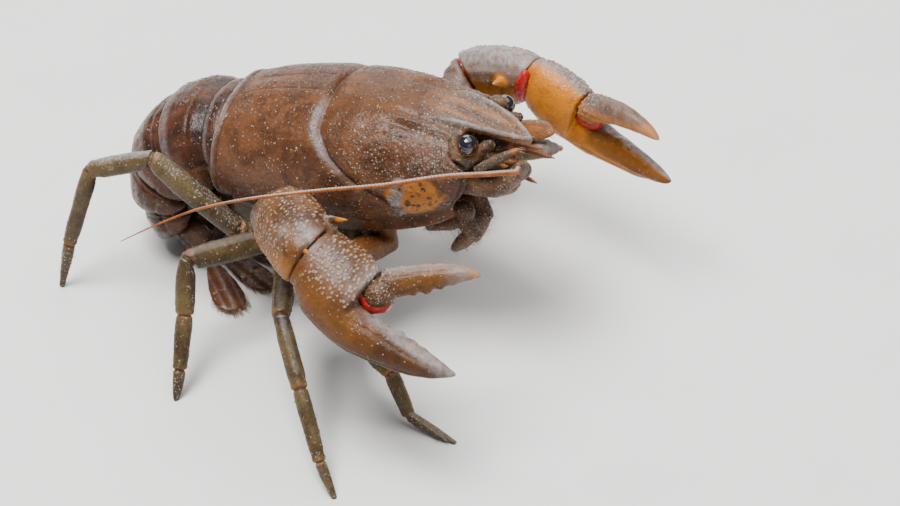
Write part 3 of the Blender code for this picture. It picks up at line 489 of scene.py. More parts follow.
class Look:
    """A material's nodes, with short ways to add to them."""

    def __init__(self, name):
        self.material = bpy.data.materials.new(name)
        self.material.use_nodes = True
        self.tree = self.material.node_tree
        self.shader = self.tree.nodes["Principled BSDF"]
        self.place = self.tree.nodes.new("ShaderNodeTexCoord").outputs["Object"]

    def node(self, kind, settings, inputs):
        made = self.tree.nodes.new(kind)
        for name, value in settings.items():
            setattr(made, name, value)
        for name, value in inputs.items():
            self.put(made.inputs[name], value)
        return made

    def put(self, socket, value):
        """Links an output to the socket, or sets a number or colour on it."""
        if isinstance(value, bpy.types.NodeSocket):
            self.tree.links.new(value, socket)
        elif isinstance(value, tuple) and len(value) == 3 and socket.type == "RGBA":
            socket.default_value = (*value, 1)
        else:
            socket.default_value = value

    def mask(self, name):
        return self.node("ShaderNodeAttribute", {"attribute_name": name}, {}).outputs["Fac"]

    def noise(self, size, detail=3.0, rough=0.6, warp=0.0):
        inputs = {"Vector": self.place, "Scale": 1 / (size * MM), "Detail": detail, "Roughness": rough,
                  "Distortion": warp}
        return self.node("ShaderNodeTexNoise", {}, inputs).outputs["Fac"]

    def cells(self, size):
        """Voronoi cells of that size in millimetres."""
        inputs = {"Vector": self.place, "Scale": 1 / (size * MM)}
        return self.node("ShaderNodeTexVoronoi", {}, inputs)

    def specks(self, size, share, reach):
        """Dots in cells of that size, in that share of the cells, their radius a share of size."""
        cells = self.cells(size)
        number = self.node("ShaderNodeSeparateColor", {}, {"Color": cells.outputs["Color"]}).outputs[0]
        there = self.ramp(self.sum("ADD", number, share), 0.98, 1.02)
        return self.sum("MULTIPLY", there, self.ramp(cells.outputs["Distance"], reach, reach * 0.5))

    def ramp(self, value, low, high, bottom=0.0, top=1.0):
        """Bottom where value is low, top where it is high, smooth between."""
        inputs = {"Value": value, "From Min": low, "From Max": high, "To Min": bottom, "To Max": top}
        return self.node("ShaderNodeMapRange", {"interpolation_type": "SMOOTHSTEP"}, inputs).outputs["Result"]

    def sum(self, operation, a, b):
        made = self.node("ShaderNodeMath", {"operation": operation}, {})
        self.put(made.inputs[0], a)
        self.put(made.inputs[1], b)
        return made.outputs[0]

    def mix(self, share, a, b):
        made = self.node("ShaderNodeMix", {"data_type": "RGBA"}, {})
        self.put(made.inputs["Factor"], share)
        self.put(made.inputs[6], a)
        self.put(made.inputs[7], b)
        return made.outputs[2]

    def bump(self, height, depth, under=None):
        """Bump of that depth in millimetres, over another bump if given."""
        inputs = {"Height": height, "Distance": depth * MM, "Strength": 1.0}
        made = self.node("ShaderNodeBump", {}, inputs)
        if under:
            self.put(made.inputs["Normal"], under)
        return made.outputs["Normal"]

    def set(self, **inputs):
        """Sets inputs of the shader, whose names have _ for each space."""
        for name, value in inputs.items():
            self.put(self.shader.inputs[name.replace("_", " ")], value)


def shell_look(name, dark, middle, warm, rough=0.32, dust=1.0):
    """Wet horny shell: mottled base, warm, pale, spotted and red areas, painted shade in pits and hollows,
    painted sheen, and mud over it.
    """
    look = Look(name)
    broad = look.noise(2.6, 4, 0.62, 0.6)
    fine = look.noise(0.35, 4, 0.7)
    colour = look.mix(look.ramp(broad, 0.36, 0.66), dark, middle)
    colour = look.mix(look.ramp(fine, 0.5, 0.85, 0.0, 0.4), colour, warm)
    warm_area = look.sum("MULTIPLY", look.mask("warm"),
                         look.ramp(look.noise(1.1, 4, 0.6), 0.25, 0.6, 0.6, 1.0))
    colour = look.mix(warm_area, colour, warm)
    # The mask below darkens the shell's own spots and also paints shade: painted shade in grooves, slits and
    # joints and on faces turned down or away from the light
    dusk = look.sum("MULTIPLY", look.mask("dark"), look.ramp(fine, 0.3, 0.7, 0.6, 1.0))
    colour = look.mix(dusk, colour, SPOT_AND_SHADE_BLACK)
    colour = look.mix(look.mask("red"), colour, look.mix(look.ramp(fine, 0.35, 0.75), RED, PINK))
    pits = look.cells(PIT_CELL).outputs["Distance"]
    # The fine pits are also painted darker where the bump further down sinks them: painted shade in the pits
    colour = look.mix(look.ramp(pits, 0.32, 0.05, 0.0, 0.45), colour, dark)
    # Painted sheen: wet highlights painted greyish on rims, tops and claw faces; on the cheek's clods, the
    # snout and the spine's base it is their own greyish colour
    grey = look.sum("MULTIPLY", look.mask("grey"), look.ramp(look.noise(0.6, 4, 0.7), 0.3, 0.65, 0.4, 1.0))
    colour = look.mix(grey, colour, GREY_AND_SHEEN)
    pale = look.sum("MULTIPLY", look.mask("pale"), look.ramp(fine, 0.2, 0.6, 0.6, 1.0))
    colour = look.mix(pale, colour, KNOB_PALE)
    patch = look.ramp(look.noise(1.7, 5, 0.7, 0.4), 0.46, 0.72, 0.12 * dust, 0.6 * dust)
    film = look.sum("MULTIPLY", look.mask("mud"), look.ramp(look.noise(0.2, 4, 0.75), 0.46, 0.68))
    amount = look.sum("MAXIMUM", patch, look.mask("mud"))
    small = look.specks(0.19, look.ramp(amount, 0.0, 0.8, 0.02, 0.6), 0.42)
    large = look.specks(0.5, look.ramp(amount, 0.05, 0.6, 0.0, 0.35), 0.24)
    cover = look.sum("MAXIMUM", look.sum("MULTIPLY", film, 0.5), look.sum("MAXIMUM", small, large))
    sand = look.mix(look.ramp(look.noise(0.24, 2, 0.6), 0.38, 0.62), MUD_GREY, PALE_MUD_AND_SHEEN)
    colour = look.mix(cover, colour, sand)
    shine = look.ramp(look.noise(0.6, 3, 0.6), 0.3, 0.7, rough - 0.08, rough + 0.1)
    shine = look.sum("ADD", shine, look.sum("MULTIPLY", cover, 0.3))
    pitted = look.bump(look.ramp(pits, 0.05, 0.4), 0.018)
    rough_skin = look.sum("ADD", look.noise(0.22, 4, 0.65), look.sum("MULTIPLY", cover, 0.8))
    relief = look.bump(rough_skin, 0.04, pitted)
    look.set(Base_Color=colour, Roughness=shine, Normal=relief, Coat_Weight=0.22,
             Coat_Roughness=0.14, Coat_Normal=relief, Specular_IOR_Level=0.06)
    return look.material


def feeler_look():
    """Antenna rings, pale greyish above as a painted highlight, and orange below and between them."""
    look = Look("feeler")
    fine = look.noise(0.12, 3, 0.7)
    under = look.mix(look.ramp(look.noise(0.9, 3, 0.6), 0.35, 0.7), FEELER_ORANGE, FEELER_BROWN)
    # The rings' upper side is painted pale greyish: a painted highlight
    colour = look.mix(look.mask("lit_band"), under, look.mix(look.ramp(fine, 0.3, 0.7), GREY_AND_SHEEN, PALE_MUD_AND_SHEEN))
    look.set(Base_Color=colour, Roughness=look.ramp(fine, 0.3, 0.7, 0.4, 0.55),
             Normal=look.bump(fine, 0.01), Coat_Weight=0.15, Specular_IOR_Level=0.15)
    return look.material


def eye_look():
    """Wet black cornea with a faint net of facets."""
    look = Look("eye")
    colour = look.mix(look.ramp(look.noise(0.5, 3, 0.6), 0.4, 0.75), EYE_BLACK, EYE_SHEEN)
    look.set(Base_Color=colour, Roughness=look.ramp(look.noise(0.3, 2, 0.5), 0.3, 0.7, 0.05, 0.12),
             Normal=look.bump(look.cells(FACET).outputs["Distance"], 0.0015), Coat_Weight=0.6,
             Coat_Roughness=0.04)
    return look.material


def membrane_look():
    """Soft, moist skin in the joints, red to pink, with fine folds."""
    look = Look("membrane")
    folds = look.noise(0.25, 4, 0.6, 1.2)
    colour = look.mix(look.ramp(folds, 0.4, 0.7, 0.0, 0.6), RED, DEEP_RED)
    colour = look.mix(look.mask("pale"), colour, PINK)
    look.set(Base_Color=colour, Roughness=look.ramp(folds, 0.3, 0.7, 0.2, 0.36),
             Normal=look.bump(folds, 0.05), Coat_Weight=0.3, Specular_IOR_Level=0.15)
    return look.material


def bristle_look():
    """Pale brown bristles."""
    look = Look("bristle")
    colour = look.mix(look.ramp(look.noise(0.8, 2, 0.5), 0.35, 0.7), BRISTLE_BROWN, BRISTLE_PALE)
    look.set(Base_Color=colour, Roughness=look.ramp(look.noise(0.5, 2, 0.5), 0.3, 0.7, 0.4, 0.6))
    return look.material


# Carapace

def carapace_angle(x, y, z):
    """The angle in degrees from the dorsal midline by which the margins and the groove are given."""
    width, top, widest, keel = (along(x, table) for table in (HALF_WIDTH, TOP, WIDEST, KEEL))
    high = z > widest
    level = np.where(high, (z - widest) / (top - widest), (z - widest) / (widest - keel))
    out = np.clip(np.abs(y) / width, 0, 1.1) ** 1.11
    return np.degrees(np.arctan2(out, np.sign(level) * np.abs(level) ** 1.05))


def clod_smear(points):
    """How much each point lies on the clods of mud on the right cheek."""
    smear = np.zeros(len(points))
    for *place, size in CHEEK_CLODS:
        near = np.linalg.norm(points - body(*place), axis=1)
        smear = np.maximum(smear, step(near, size + 0.3, size - 0.05))
    return smear * step(noise(points, 0.4, 33), -0.7, 0.0)


def carapace_margins(x, y, angle, up, outside):
    """Relief of the carapace's edges, groove and midline bands."""
    to_groove = x - along(angle, GROOVE)
    height = -0.14 * ridge(to_groove, 0.15) * step(angle, 122, 108)
    from_rear = x - along(angle, REAR_EDGE)
    height += (0.09 * ridge(from_rear - 0.3, 0.28) - 0.09 * ridge(from_rear - 0.78, 0.13)) * outside
    from_front = along(angle, FRONT_EDGE) - x
    sides = step(angle, 42, 55) * step(angle, 135, 120) * step(x, 24, 23)
    height += (0.11 * ridge(from_front - 0.2, 0.2) - 0.07 * ridge(from_front - 0.7, 0.16)) * sides
    areola = np.abs(y) - (0.95 + 0.012 * (x - 5) ** 2)
    height -= 0.05 * ridge(areola, 0.09) * step(x, 0.8, 1.6) * step(x, 9.4, 8.8) * step(up, 0.5, 0.8)
    height += 0.1 * ridge(angle - 127, 3.5) * step(x, 0, 1.5) * step(x, 20, 18.5)
    return height


def head_ridges(x, y, up, half):
    """Relief of the ridges behind the eyes, and of the beak's margins, trough and keel."""
    behind_eye = np.abs(y) - along(x, [(13.5, 2.5), (17, 2.7), (20.5, 2.75)])
    orbital = step(x, 14.5, 17.5) * step(x, 21.2, 20.6) * step(up, 0.1, 0.4)
    height = (0.17 * ridge(behind_eye, 0.26) - 0.1 * ridge(behind_eye - 0.62, 0.22)) * orbital
    height -= 0.1 * ridge(behind_eye + 0.55, 0.25) * orbital
    margin = ridge(np.abs(y) - (half - 0.26), 0.24) * step(x, 18.2, 20.8) * step(up, 0.0, 0.45)
    trough = np.clip(1 - (y / np.maximum(half - 0.3, 0.2)) ** 2, 0, 1)
    height += 0.2 * margin - 0.32 * trough * step(x, 18.0, 21.5) * step(x, 25.7, 24.0) * step(up, 0.4, 0.7)
    height += 0.07 * ridge(y, 0.14) * step(x, 19.0, 21.0) * step(x, 25.6, 24.5) * step(up, 0.5, 0.8)
    return height, margin


def make_carapace(look):
    clods = [ball(body(*place), (size, 0.28, size * 0.9)) for *place, size in CHEEK_CLODS]
    form = Form("carapace", VOXEL["carapace"], "cephalothorax", clods).relax(40)
    p = form.points
    x, y, z = in_body(p)
    angle = carapace_angle(x, y, z)
    up = form.normals @ body_axes()[:, 2]
    outside = step(angle, 138, 126) * step(x, -0.6, 0.4)
    half = along(x, ROSTRUM_HALF)
    smear = clod_smear(p)
    to_groove = x - along(angle, GROOVE)
    ridges, margin = head_ridges(x, y, up, half)
    below_eye = ridge((x - 19.9 - 0.35 * (angle - 66) / 10) / 0.16, 1.0)
    below_eye *= step(angle, 58, 64) * step(angle, 84, 76)
    cheek = np.hypot((x - 17.45) / 2.65, (angle - 106) / 25)
    cheek = step(cheek + 0.22 * noise(p, 0.9, 34) + 0.1 * noise(p, 0.3, 36), 1.0, 0.72)
    cheek *= outside * step(to_groove, 0.2, 0.7)
    spots = step(grains(p, 0.8, 0.3, 91, 0.6), 0.1, 0.3)
    spots = cheek * np.maximum(spots, step(grains(p, 0.42, 0.15, 92, 0.6), 0.1, 0.4))
    head = step(x, 10, 19)
    height = 0.05 * fractal(p, 2.6, 1) + ridges - 0.12 * below_eye
    height += carapace_margins(x, y, angle, up, outside)
    height += (0.08 + 0.16 * grains(p, 0.32, 0.15, 35, 0.8)) * smear
    height += 0.05 * grains(p, 0.8, 0.3, 31, 0.6) * cheek + 0.05 * spots
    height -= 0.05 * grains(p, 0.5, 0.14, 41, 0.8) * outside * step(angle, 115, 90) * (1 - 0.7 * head)
    granules = 0.2 + 0.8 * np.maximum(head, step(angle, 55, 95))
    height += 0.085 * grains(p, 0.42, 0.15, 51, 0.6) * outside * granules
    dust = grains(p, 0.36, 0.11, 61, 0.3)
    heap = step(fractal(p, 3.2, 81), 0.1, 0.9)
    snout = step(x, 16.5, 20.5) * step(angle, 95, 50)
    muddy = 0.1 + 0.8 * snout + 0.3 * heap * step(np.abs(y), 0.8, 2.8)
    muddy += 0.35 * step(to_groove, 0.3, 1.5) * ridge((angle - 70) / 26, 1.0)
    muddy = outside * np.clip(muddy, 0, 1)
    height += (0.07 * dust + 0.1 * grains(p, 0.95, 0.2, 71, 0.3)) * outside * (0.3 + 0.7 * muddy)
    form.lift(height)

    gold = step(np.abs(y), half - 0.3, half - 0.1) * step(x, 20.2, 21.2)
    gold *= step(up, 0.3, 0.05) * step(up, -0.7, -0.4) * step(angle, 66, 56)
    middle = ridge(np.abs(y) - 0.7, 0.28) * step(x, 17, 20) * step(up, 0.4, 0.7)
    crest = step(x, 9.9, 11.0) * step(x, 18.5, 15.0) * step(angle, 46, 22)
    patches = ridge(np.hypot((x - 15.2) / 1.3, (np.abs(y) - 2.1) / 0.8), 0.8)
    patches = np.maximum(patches, ridge(np.hypot((x - 11.5) / 1.2, (np.abs(y) - 0.9) / 0.8), 0.8))
    patches *= step(up, 0.3, 0.6)
    bare_cheek = cheek * (1 - smear)
    clean = (1 - 0.7 * crest) * (1 - 0.8 * patches) * (1 - 0.8 * bare_cheek) * (1 - gold)
    from_rear = x - along(angle, REAR_EDGE)
    from_front = along(angle, FRONT_EDGE) - x
    by_groove = ridge(to_groove + 0.36, 0.36) * step(angle, 90, 55) * step(angle, 6, 25)
    by_groove *= 0.5 + 0.5 * step(noise(p, 0.8, 37), -0.4, 0.4)
    groove = ridge(to_groove, 0.15) * step(angle, 122, 108) * step(angle, 50, 75)
    front_rim = step(from_front, 1.5, 0.5) * step(angle, 82, 95) * outside
    low_rim = step(angle, 117, 132) * outside * (1 - 0.5 * cheek)
    # Painted sheen, greyish, on the rear rim, beside the groove and on the beak's margins, while on the clods
    # and the snout the greyish is mud. Painted shade in the cervical groove, in the groove behind the rear
    # rim, in the groove under the eye and on the low rim of the flank. The cheek spots and the darker crest
    # are the shell's own colour, and the shell is darker along the lower front margin.
    form.paint(mud=most(muddy * clean, smear, step(dust, 0.2, 0.6) * outside * 0.9 * clean),
               grey=most(0.6 * ridge(from_rear - 0.3, 0.22) * outside, 0.5 * by_groove, 0.6 * margin,
                         0.6 * smear, 0.12 * snout),
               warm=most(0.9 * bare_cheek, 0.9 * gold, 0.3 * patches, 0.5 * middle, 0.12 * crest),
               dark=most(spots * (1 - smear), 0.75 * groove, 0.7 * low_rim, 0.5 * below_eye, 0.5 * front_rim,
                         0.5 * ridge(from_rear - 0.75, 0.12) * outside, 0.42 * crest))
    form.finish(look, "carapace", "cephalothorax")


# Tail

def tail_stations(parts=20):
    """For each tail ring, the place and heading in degrees at stations along its axis."""
    place = body(*TAIL_ROOT)
    heading = TAIL_HEADING
    rings = []
    for length, turn, _, _ in TAIL_RINGS:
        stations = [(place.copy(), heading)]
        for _ in range(parts):
            heading += turn / parts / 2
            a = math.radians(heading)
            place = place + np.array((-math.cos(a), 0, -math.sin(a))) * length / parts
            heading += turn / parts / 2
            stations.append((place.copy(), heading))
        rings.append(stations)
    return rings


def tail_way(heading):
    """Rearward and dorsal directions at a heading."""
    a = math.radians(heading)
    return np.array((-math.cos(a), 0, -math.sin(a))), np.array((-math.sin(a), 0, math.cos(a)))


def make_tail(look):
    for number, (stations, (_, _, width, height)) in enumerate(zip(tail_stations(), TAIL_RINGS), 1):
        form = Form(f"tail_ring_{number}", VOXEL["tail"], f"abdomen_{number}").relax(30)
        p = form.points
        (start, first), (end, last) = stations[0], stations[-1]
        from_start = (p - start) @ tail_way(first)[0]
        to_end = (end - p) @ tail_way(last)[0]
        share = np.clip(from_start / np.maximum(from_start + to_end, 0.2), 0, 1)
        middle, heading = stations[10]
        rearward, dorsal = tail_way(heading)
        out = (p - middle) @ dorsal
        side = np.abs(p[:, 1] - ORIGIN[1])
        shell = step(out, -2.3, -1.3) * step(np.hypot(side / width, np.maximum(out, 0) / height), 0.72, 0.86)
        relief = 0.04 * fractal(p, 1.8, 3)
        front = step(share, 0.3, 0.0)
        relief -= 0.2 * front * shell
        relief -= 0.07 * ridge(share - 0.34, 0.035) * shell * step(out, -1.0, 0.0)
        rear = step(share, 0.74, 0.92)
        relief += 0.09 * rear * shell
        flap = ridge(side - 0.97 * width, 0.45) * step(out, 0.4, -0.4)
        relief -= 0.08 * ridge(out - 0.15, 0.16) * step(side, 0.8 * width, 0.9 * width)
        relief += 0.05 * flap
        pits = grains(p, 0.5, 0.13, 41 + number, 0.7) * shell * (1 - front)
        dust = grains(p, 0.36, 0.1, 61 + number, 0.3) * shell
        relief += 0.07 * dust - 0.045 * pits
        form.lift(relief)
        slide = 0.42 * step(share, 0.8, 1.0) - 0.3 * step(share, 0.2, 0.0)
        if number == 6:
            slide = np.minimum(slide, 0)
        form.points += rearward * (slide * shell)[:, None]
        form.points[:, 2] = np.maximum(form.points[:, 2], 0)
        heap = step(fractal(p, 2.4, 81 + number), 0.1, 0.8)
        # Painted highlight, greyish, across the raised rear of each ring; painted shade on the ring's front,
        # tucked under the ring before it, and on its underside
        form.paint(mud=np.maximum((0.05 + 0.25 * heap) * shell, 0.8 * step(dust, 0.2, 0.6)),
                   grey=0.3 * ridge(share - 0.86, 0.06) * shell * step(out, -0.5, 1.0),
                   warm=0.2 * step(out, 0.5, -1.5),
                   dark=np.maximum(0.75 * front * shell, 0.5 * step(out, -0.9, -2.0)))
        form.finish(look, "tail", f"abdomen_{number}")


def make_tail_fan(look, bristle):
    """Telson and uropods with their ribs and fringes."""
    fringes = []
    uropods = [f"uropod_{place}_{side}" for place in ("inner", "outer") for side in ("left", "right")]
    for node in ("telson", *uropods):
        form = Form(f"fan_{node}", VOXEL["fan"], node).relax(12)
        p = form.points
        flat = p[:, :2] - p.mean(axis=0)[:2]
        way = np.linalg.svd(flat, full_matrices=False)[2][0]
        way = way * np.sign(way[0])
        length = flat @ way
        across = flat @ np.array((-way[1], way[0]))
        share = (length - length.min()) / (length.max() - length.min())
        rib = ridge(across, 0.18) + 0.6 * ridge(np.abs(across) - 0.75, 0.12)
        top = step(form.normals[:, 2], 0.1, 0.6)
        relief = 0.1 * rib * top * step(share, 0.95, 0.7) + 0.02 * fractal(p, 0.9, 5)
        relief -= 0.06 * ridge(share - 0.62, 0.03) * top
        form.lift(relief)
        form.points[:, 2] = np.maximum(form.points[:, 2], 0)
        # Painted sheen, greyish, on the tops of the ribs, and painted shade on the faces not turned up
        form.paint(mud=0.25 * step(fractal(p, 1.6, 7), 0.0, 0.8), grey=0.3 * rib * top, warm=0.2 * top,
                   dark=0.3 * (1 - top))
        form.finish(look, "tail", node)
        edge = step(share, 0.6, 0.95) * step(np.abs(form.normals[:, 2]), 0.7, 0.2)
        roots, normals, _ = picked(form, edge, 110, 5)
        ways = np.column_stack((normals[:, :2] * 0.5 + way, np.full(len(roots), -0.02)))
        fringes += hairs(roots, ways, 0.55 + 0.25 * np.sin(np.arange(len(roots)) * 1.7), 0.022, 0.1)
    plain_piece("tail_fringe", fringes, bristle, "tail")


# Claws

def claw_frame(side):
    """Wrist of the claw, and its axis, opening and flat directions."""
    wrist = row(ARM_JOINTS[side][-1])
    way = unit(row(CLAW_TIP[side]) - wrist)
    opening = np.array(CLAW_UP[side])
    opening = unit(opening - way * np.dot(opening, way))
    return wrist, way, opening, np.cross(way, opening)


def outer_sign(side):
    """Which way the claw's outer face lies along its flat direction."""
    _, _, _, flat = claw_frame(side)
    to_side = np.array((0, -1.0, 0.6)) if side == "right" else np.array((0, 1.0, 0.6))
    return math.copysign(1, flat @ to_side)


def tubercles(form, u, v, size, radius, seed, where, high):
    """Heights of pale-tipped tubercles in staggered rows over the surface coordinates u and v."""
    q = np.column_stack([u, v, np.zeros(len(u))]) / size
    row_number = np.floor(q[:, 1]).astype(np.int64)
    bumps = np.zeros(len(u))
    for offset in np.ndindex(3, 3):
        rows = row_number + offset[1] - 1
        shift = 0.5 * (rows % 2)
        column = np.floor(q[:, 0] - shift).astype(np.int64) + offset[0] - 1
        cell = np.column_stack([column, rows, np.zeros_like(rows)])
        centre = cell[:, :2] + 0.5
        for axis in range(2):
            centre[:, axis] += 0.75 * (cell_number(cell, seed + axis) - 0.5)
        centre[:, 0] += shift
        reach = radius / size * (0.65 + 0.5 * cell_number(cell, seed + 2))
        near = 1 - ((q[:, :2] - centre) ** 2).sum(axis=1) / reach**2
        near[cell_number(cell, seed + 3) > 0.9] = 0
        bumps = np.maximum(bumps, near)
    bumps *= where
    form.paint(pale=0.7 * step(bumps, 0.25, 0.75) * step(where, 0.15, 0.5))
    return high * np.sqrt(bumps)


def make_palm(side, look):
    """The palm with its fixed finger."""
    wrist, way, opening, flat = claw_frame(side)
    outer_way = outer_sign(side)
    palm = Form(f"claw_palm_{side}", VOXEL["palm"], f"cheliped_{side}_palm").relax(45)
    p = palm.points
    d, o, f = (p - wrist) @ way, (p - wrist) @ opening, (p - wrist) @ flat * outer_way
    facing = palm.normals @ flat * outer_way
    on_palm = step(d, 7.4, 5.6)
    outer = step(facing, -0.45, 0.25)
    height = 0.05 * fractal(p, 2.0, 5)
    upper = step(o, -2.2, 0.2)
    bumpy = outer * on_palm * (0.05 + 0.95 * step(o, -2.7, -0.4)) * step(d, 6.6, 5.2)
    around = 2.1 * np.arctan2(f, 0.8 * (o + 0.3))
    height += tubercles(palm, d, around, 0.36, 0.125, 7, bumpy * step(d, 0.5, 0.8), 0.07)
    finger = step(d, 5.6, 7.2)
    grooves = ridge(f - 0.45, 0.16) + ridge(f + 0.45, 0.16)
    height -= 0.07 * grooves * finger * step(o, -0.6, -1.2)
    sides = ridge(o + 1.6 + 0.12 * (7 - d), 0.22) * finger * step(np.abs(facing), 0.4, 0.8)
    height -= 0.08 * sides
    height -= 0.08 * ridge(d - 0.55, 0.16)
    height += 0.08 * ridge(d - 0.25, 0.18)
    height -= 0.045 * grains(p, 0.45, 0.12, 13, 0.6) * (1 - on_palm * upper * outer)
    dust = grains(p, 0.55, 0.12, 15, 0.1) * step(o, -3.0, -1.0)
    height += 0.08 * dust
    palm.lift(height)
    palm.points -= way * (0.12 * step(d, 0.6, 0.2))[:, None]
    lower = step(o, 0.4, -1.8)
    inner_edge = step(o, -1.3, -0.5) * finger
    # Near claw: painted sheen, partly the finger's own greyish, on the fixed finger's inner edge, on the
    # palm's upper middle and by the finger's root; painted shade darkens the lower palm and its lower margin
    if side == "right":
        warm = 0.25 * lower * step(d, 0.0, 2.5) * step(d, 9.5, 7.0) + 0.15 * (1 - outer)
        grey = np.maximum(0.65 * inner_edge * outer, 0.3 * ridge(o - 1.0 + 0.15 * d, 1.0) * outer * on_palm)
        grey = np.maximum(grey, 0.6 * ridge(d - 5.3, 1.0) * step(o, 0.0, 1.0) * outer)
        dark = np.maximum(0.55 * step(o, 0.4, -1.4) * step(d, 0.3, 2.0), 0.7 * step(o, -2.4, -3.3))
    else:
        # Far claw: painted sheen on the faces turned up; it is also darker on its outer face
        warm = np.maximum(1.0 * step(facing, 0.35, -0.15), 0.45 * lower)
        grey = 0.6 * step(palm.normals[:, 2], 0.35, 0.75) * outer
        dark = 0.2 * step(facing, 0.0, 0.5)
    # Painted shade also darkens the palm's root, where it meets the wrist
    palm.paint(warm=warm * (1 - 0.8 * inner_edge), grey=grey,
               mud=most(0.15 * upper * outer, 0.8 * step(dust, 0.2, 0.6)),
               dark=most(dark, 0.4 * ridge(d - 0.1, 0.35)))
    palm.finish(look, "claws", f"cheliped_{side}_palm")


def make_finger(side, look):
    """The moving finger, with a knob of flesh where it meets the palm."""
    wrist, way, opening, flat = claw_frame(side)
    outer_way = outer_sign(side)
    turn = math.radians(CLAW_OPEN[side])
    root = wrist + way * DACTYL_ROOT[0] + opening * DACTYL_ROOT[1]
    dactyl_way = way * math.cos(turn) + opening * math.sin(turn)
    rise = opening * math.cos(turn) - way * math.sin(turn)
    knob = [ball(wrist + way * 6.2 + opening * 1.2 + flat * outer_way * 0.25, (1.35, 1.2, 1.15),
                 (dactyl_way, rise, flat))]
    finger = Form(f"claw_finger_{side}", VOXEL["finger"], f"cheliped_{side}_finger", knob).relax(24)
    p = finger.points
    d, o, f = (p - root) @ dactyl_way, (p - root) @ rise, (p - root) @ flat * outer_way
    facing = finger.normals @ flat * outer_way
    height = 0.03 * fractal(p, 1.6, 15)
    height -= 0.06 * ridge(o - 0.65, 0.14) * step(np.abs(facing), 0.3, 0.7) * step(d, 7.0, 5.5)
    height -= 0.04 * grains(p, 0.4, 0.11, 17, 0.6)
    height += tubercles(finger, d, f, 0.4, 0.12, 19, step(d, 2.8, 1.6) * step(o, 0.4, 0.9), 0.06)
    height += 0.09 * grains(p, 0.3, 0.12, 20, 0.8) * step(d, 2.0, 0.8)
    finger.lift(height)
    tip = step(d, DACTYL_LENGTH - 1.1, DACTYL_LENGTH - 0.3)
    if side == "right":
        warm = 0.05 + 0.5 * tip
    else:
        warm = np.maximum(step(facing, 0.2, -0.2), 0.6) * step(o, 1.6, 1.0)
    rooted = step(d, 2.4, 1.0)
    # Painted sheen: a wet highlight painted greyish on the finger's upper side and its far part
    painted_sheen = (0.5 if side == "right" else 0.25) * most(step(o, 0.5, 1.2), step(d, 4.5, 6.5)) * (1 - tip)
    finger.paint(warm=warm, mud=most(0.12 * step(o, 0.5, 1.1), 0.5 * rooted), pale=0.3 * tip, grey=painted_sheen,
                 dark=0.45 * rooted)
    finger.finish(look, "claws", f"cheliped_{side}_finger")


def make_carpus(side, look):
    """The wrist piece between arm and claw, with the near one's spines and lump of mud."""
    _, knuckle, wrist = (row(j) for j in ARM_JOINTS[side])
    _, claw_way, opening, flat = claw_frame(side)
    way = unit(wrist - knuckle)
    length = np.linalg.norm(wrist - knuckle)
    inner = unit(opening - way * np.dot(opening, way))
    lump = knuckle + way * 5.5 + inner * 2.5 - flat * 0.5
    extras = []
    if side == "right":
        extras = [ball(lump, (0.9, 0.8, 0.75)), ball(lump + way * 0.65, (0.6, 0.65, 0.6))]
    carpus = Form(f"claw_carpus_{side}", VOXEL["palm"], f"cheliped_{side}_carpus", extras).relax(24)
    p = carpus.points
    on_lump = step(np.linalg.norm(p - lump, axis=1), 1.25, 0.8) * (side == "right")
    d = (p - knuckle) @ way
    o = (p - knuckle - way * length * 0.5) @ inner
    facing = carpus.normals @ flat * outer_sign(side)
    outer = step(facing, -0.5, 0.2)
    height = 0.05 * fractal(p, 1.8, 21)
    around = 2.2 * np.arctan2((p - knuckle) @ np.cross(way, inner), (p - knuckle) @ inner)
    bumpy = outer * step(d, length + 0.1, length - 0.5) * step(d, 0.0, 0.6) * (1 - on_lump)
    height += tubercles(carpus, d, around, 0.4, 0.125, 23, bumpy, 0.065)
    height += 0.16 * grains(p, 0.3, 0.14, 24, 0.8) * on_lump
    height -= 0.1 * ridge(o - 0.3 - 0.25 * (d - length / 2), 0.3) * step(facing, 0.3, 0.7)
    dust = grains(p, 0.42, 0.12, 25, 0.3)
    height += 0.09 * dust * outer
    carpus.lift(height)
    carpus.points += way * (0.15 * step(d, length - 0.8, length - 0.3))[:, None]
    # Near wrist: painted sheen, greyish wet highlights on its upper face by the claw
    grey = np.maximum(0.65 * ridge(d - length - 0.3, 1.3) * ridge(o - 1.4, 0.8),
                      0.35 * ridge(d - length + 1.6, 1.1) * ridge(o - 0.4, 0.9)) * outer
    warm = 0.35 * step(o, -0.8, -2.0)
    if side == "left":
        knob = knuckle + way * length * 0.84 + inner * 1.3 - outer_sign(side) * flat * 2.1
        on_knob = step(np.linalg.norm(p - knob, axis=1), 0.95, 0.5)
        # Far wrist: painted sheen on the faces turned up, except on the knob
        grey = 0.75 * step(carpus.normals[:, 2] + 0.25 * noise(p, 1.3, 26), 0.0, 0.8) * (1 - on_knob)
        warm = np.maximum(on_knob, 0.5 * step(carpus.normals[:, 2], 0.1, -0.3))
    # Painted shade darkens the end at the knuckle, where it meets the arm
    carpus.paint(warm=warm, grey=grey, dark=0.4 * step(d, 0.6, 0.0),
                 mud=most(on_lump, 0.25 * outer * step(o, -1.0, 1.5), 0.9 * step(dust, 0.2, 0.6)),
                 pale=0.35 * on_lump)
    carpus.finish(look, "claws", f"cheliped_{side}_carpus")
    if side == "right":
        condyle = wrist - claw_way * 0.6 + opening * 0.3 + flat * outer_sign(side) * 1.5
        make_carpal_spines(knuckle + way * length * 0.62, way, inner, condyle, claw_way, look)


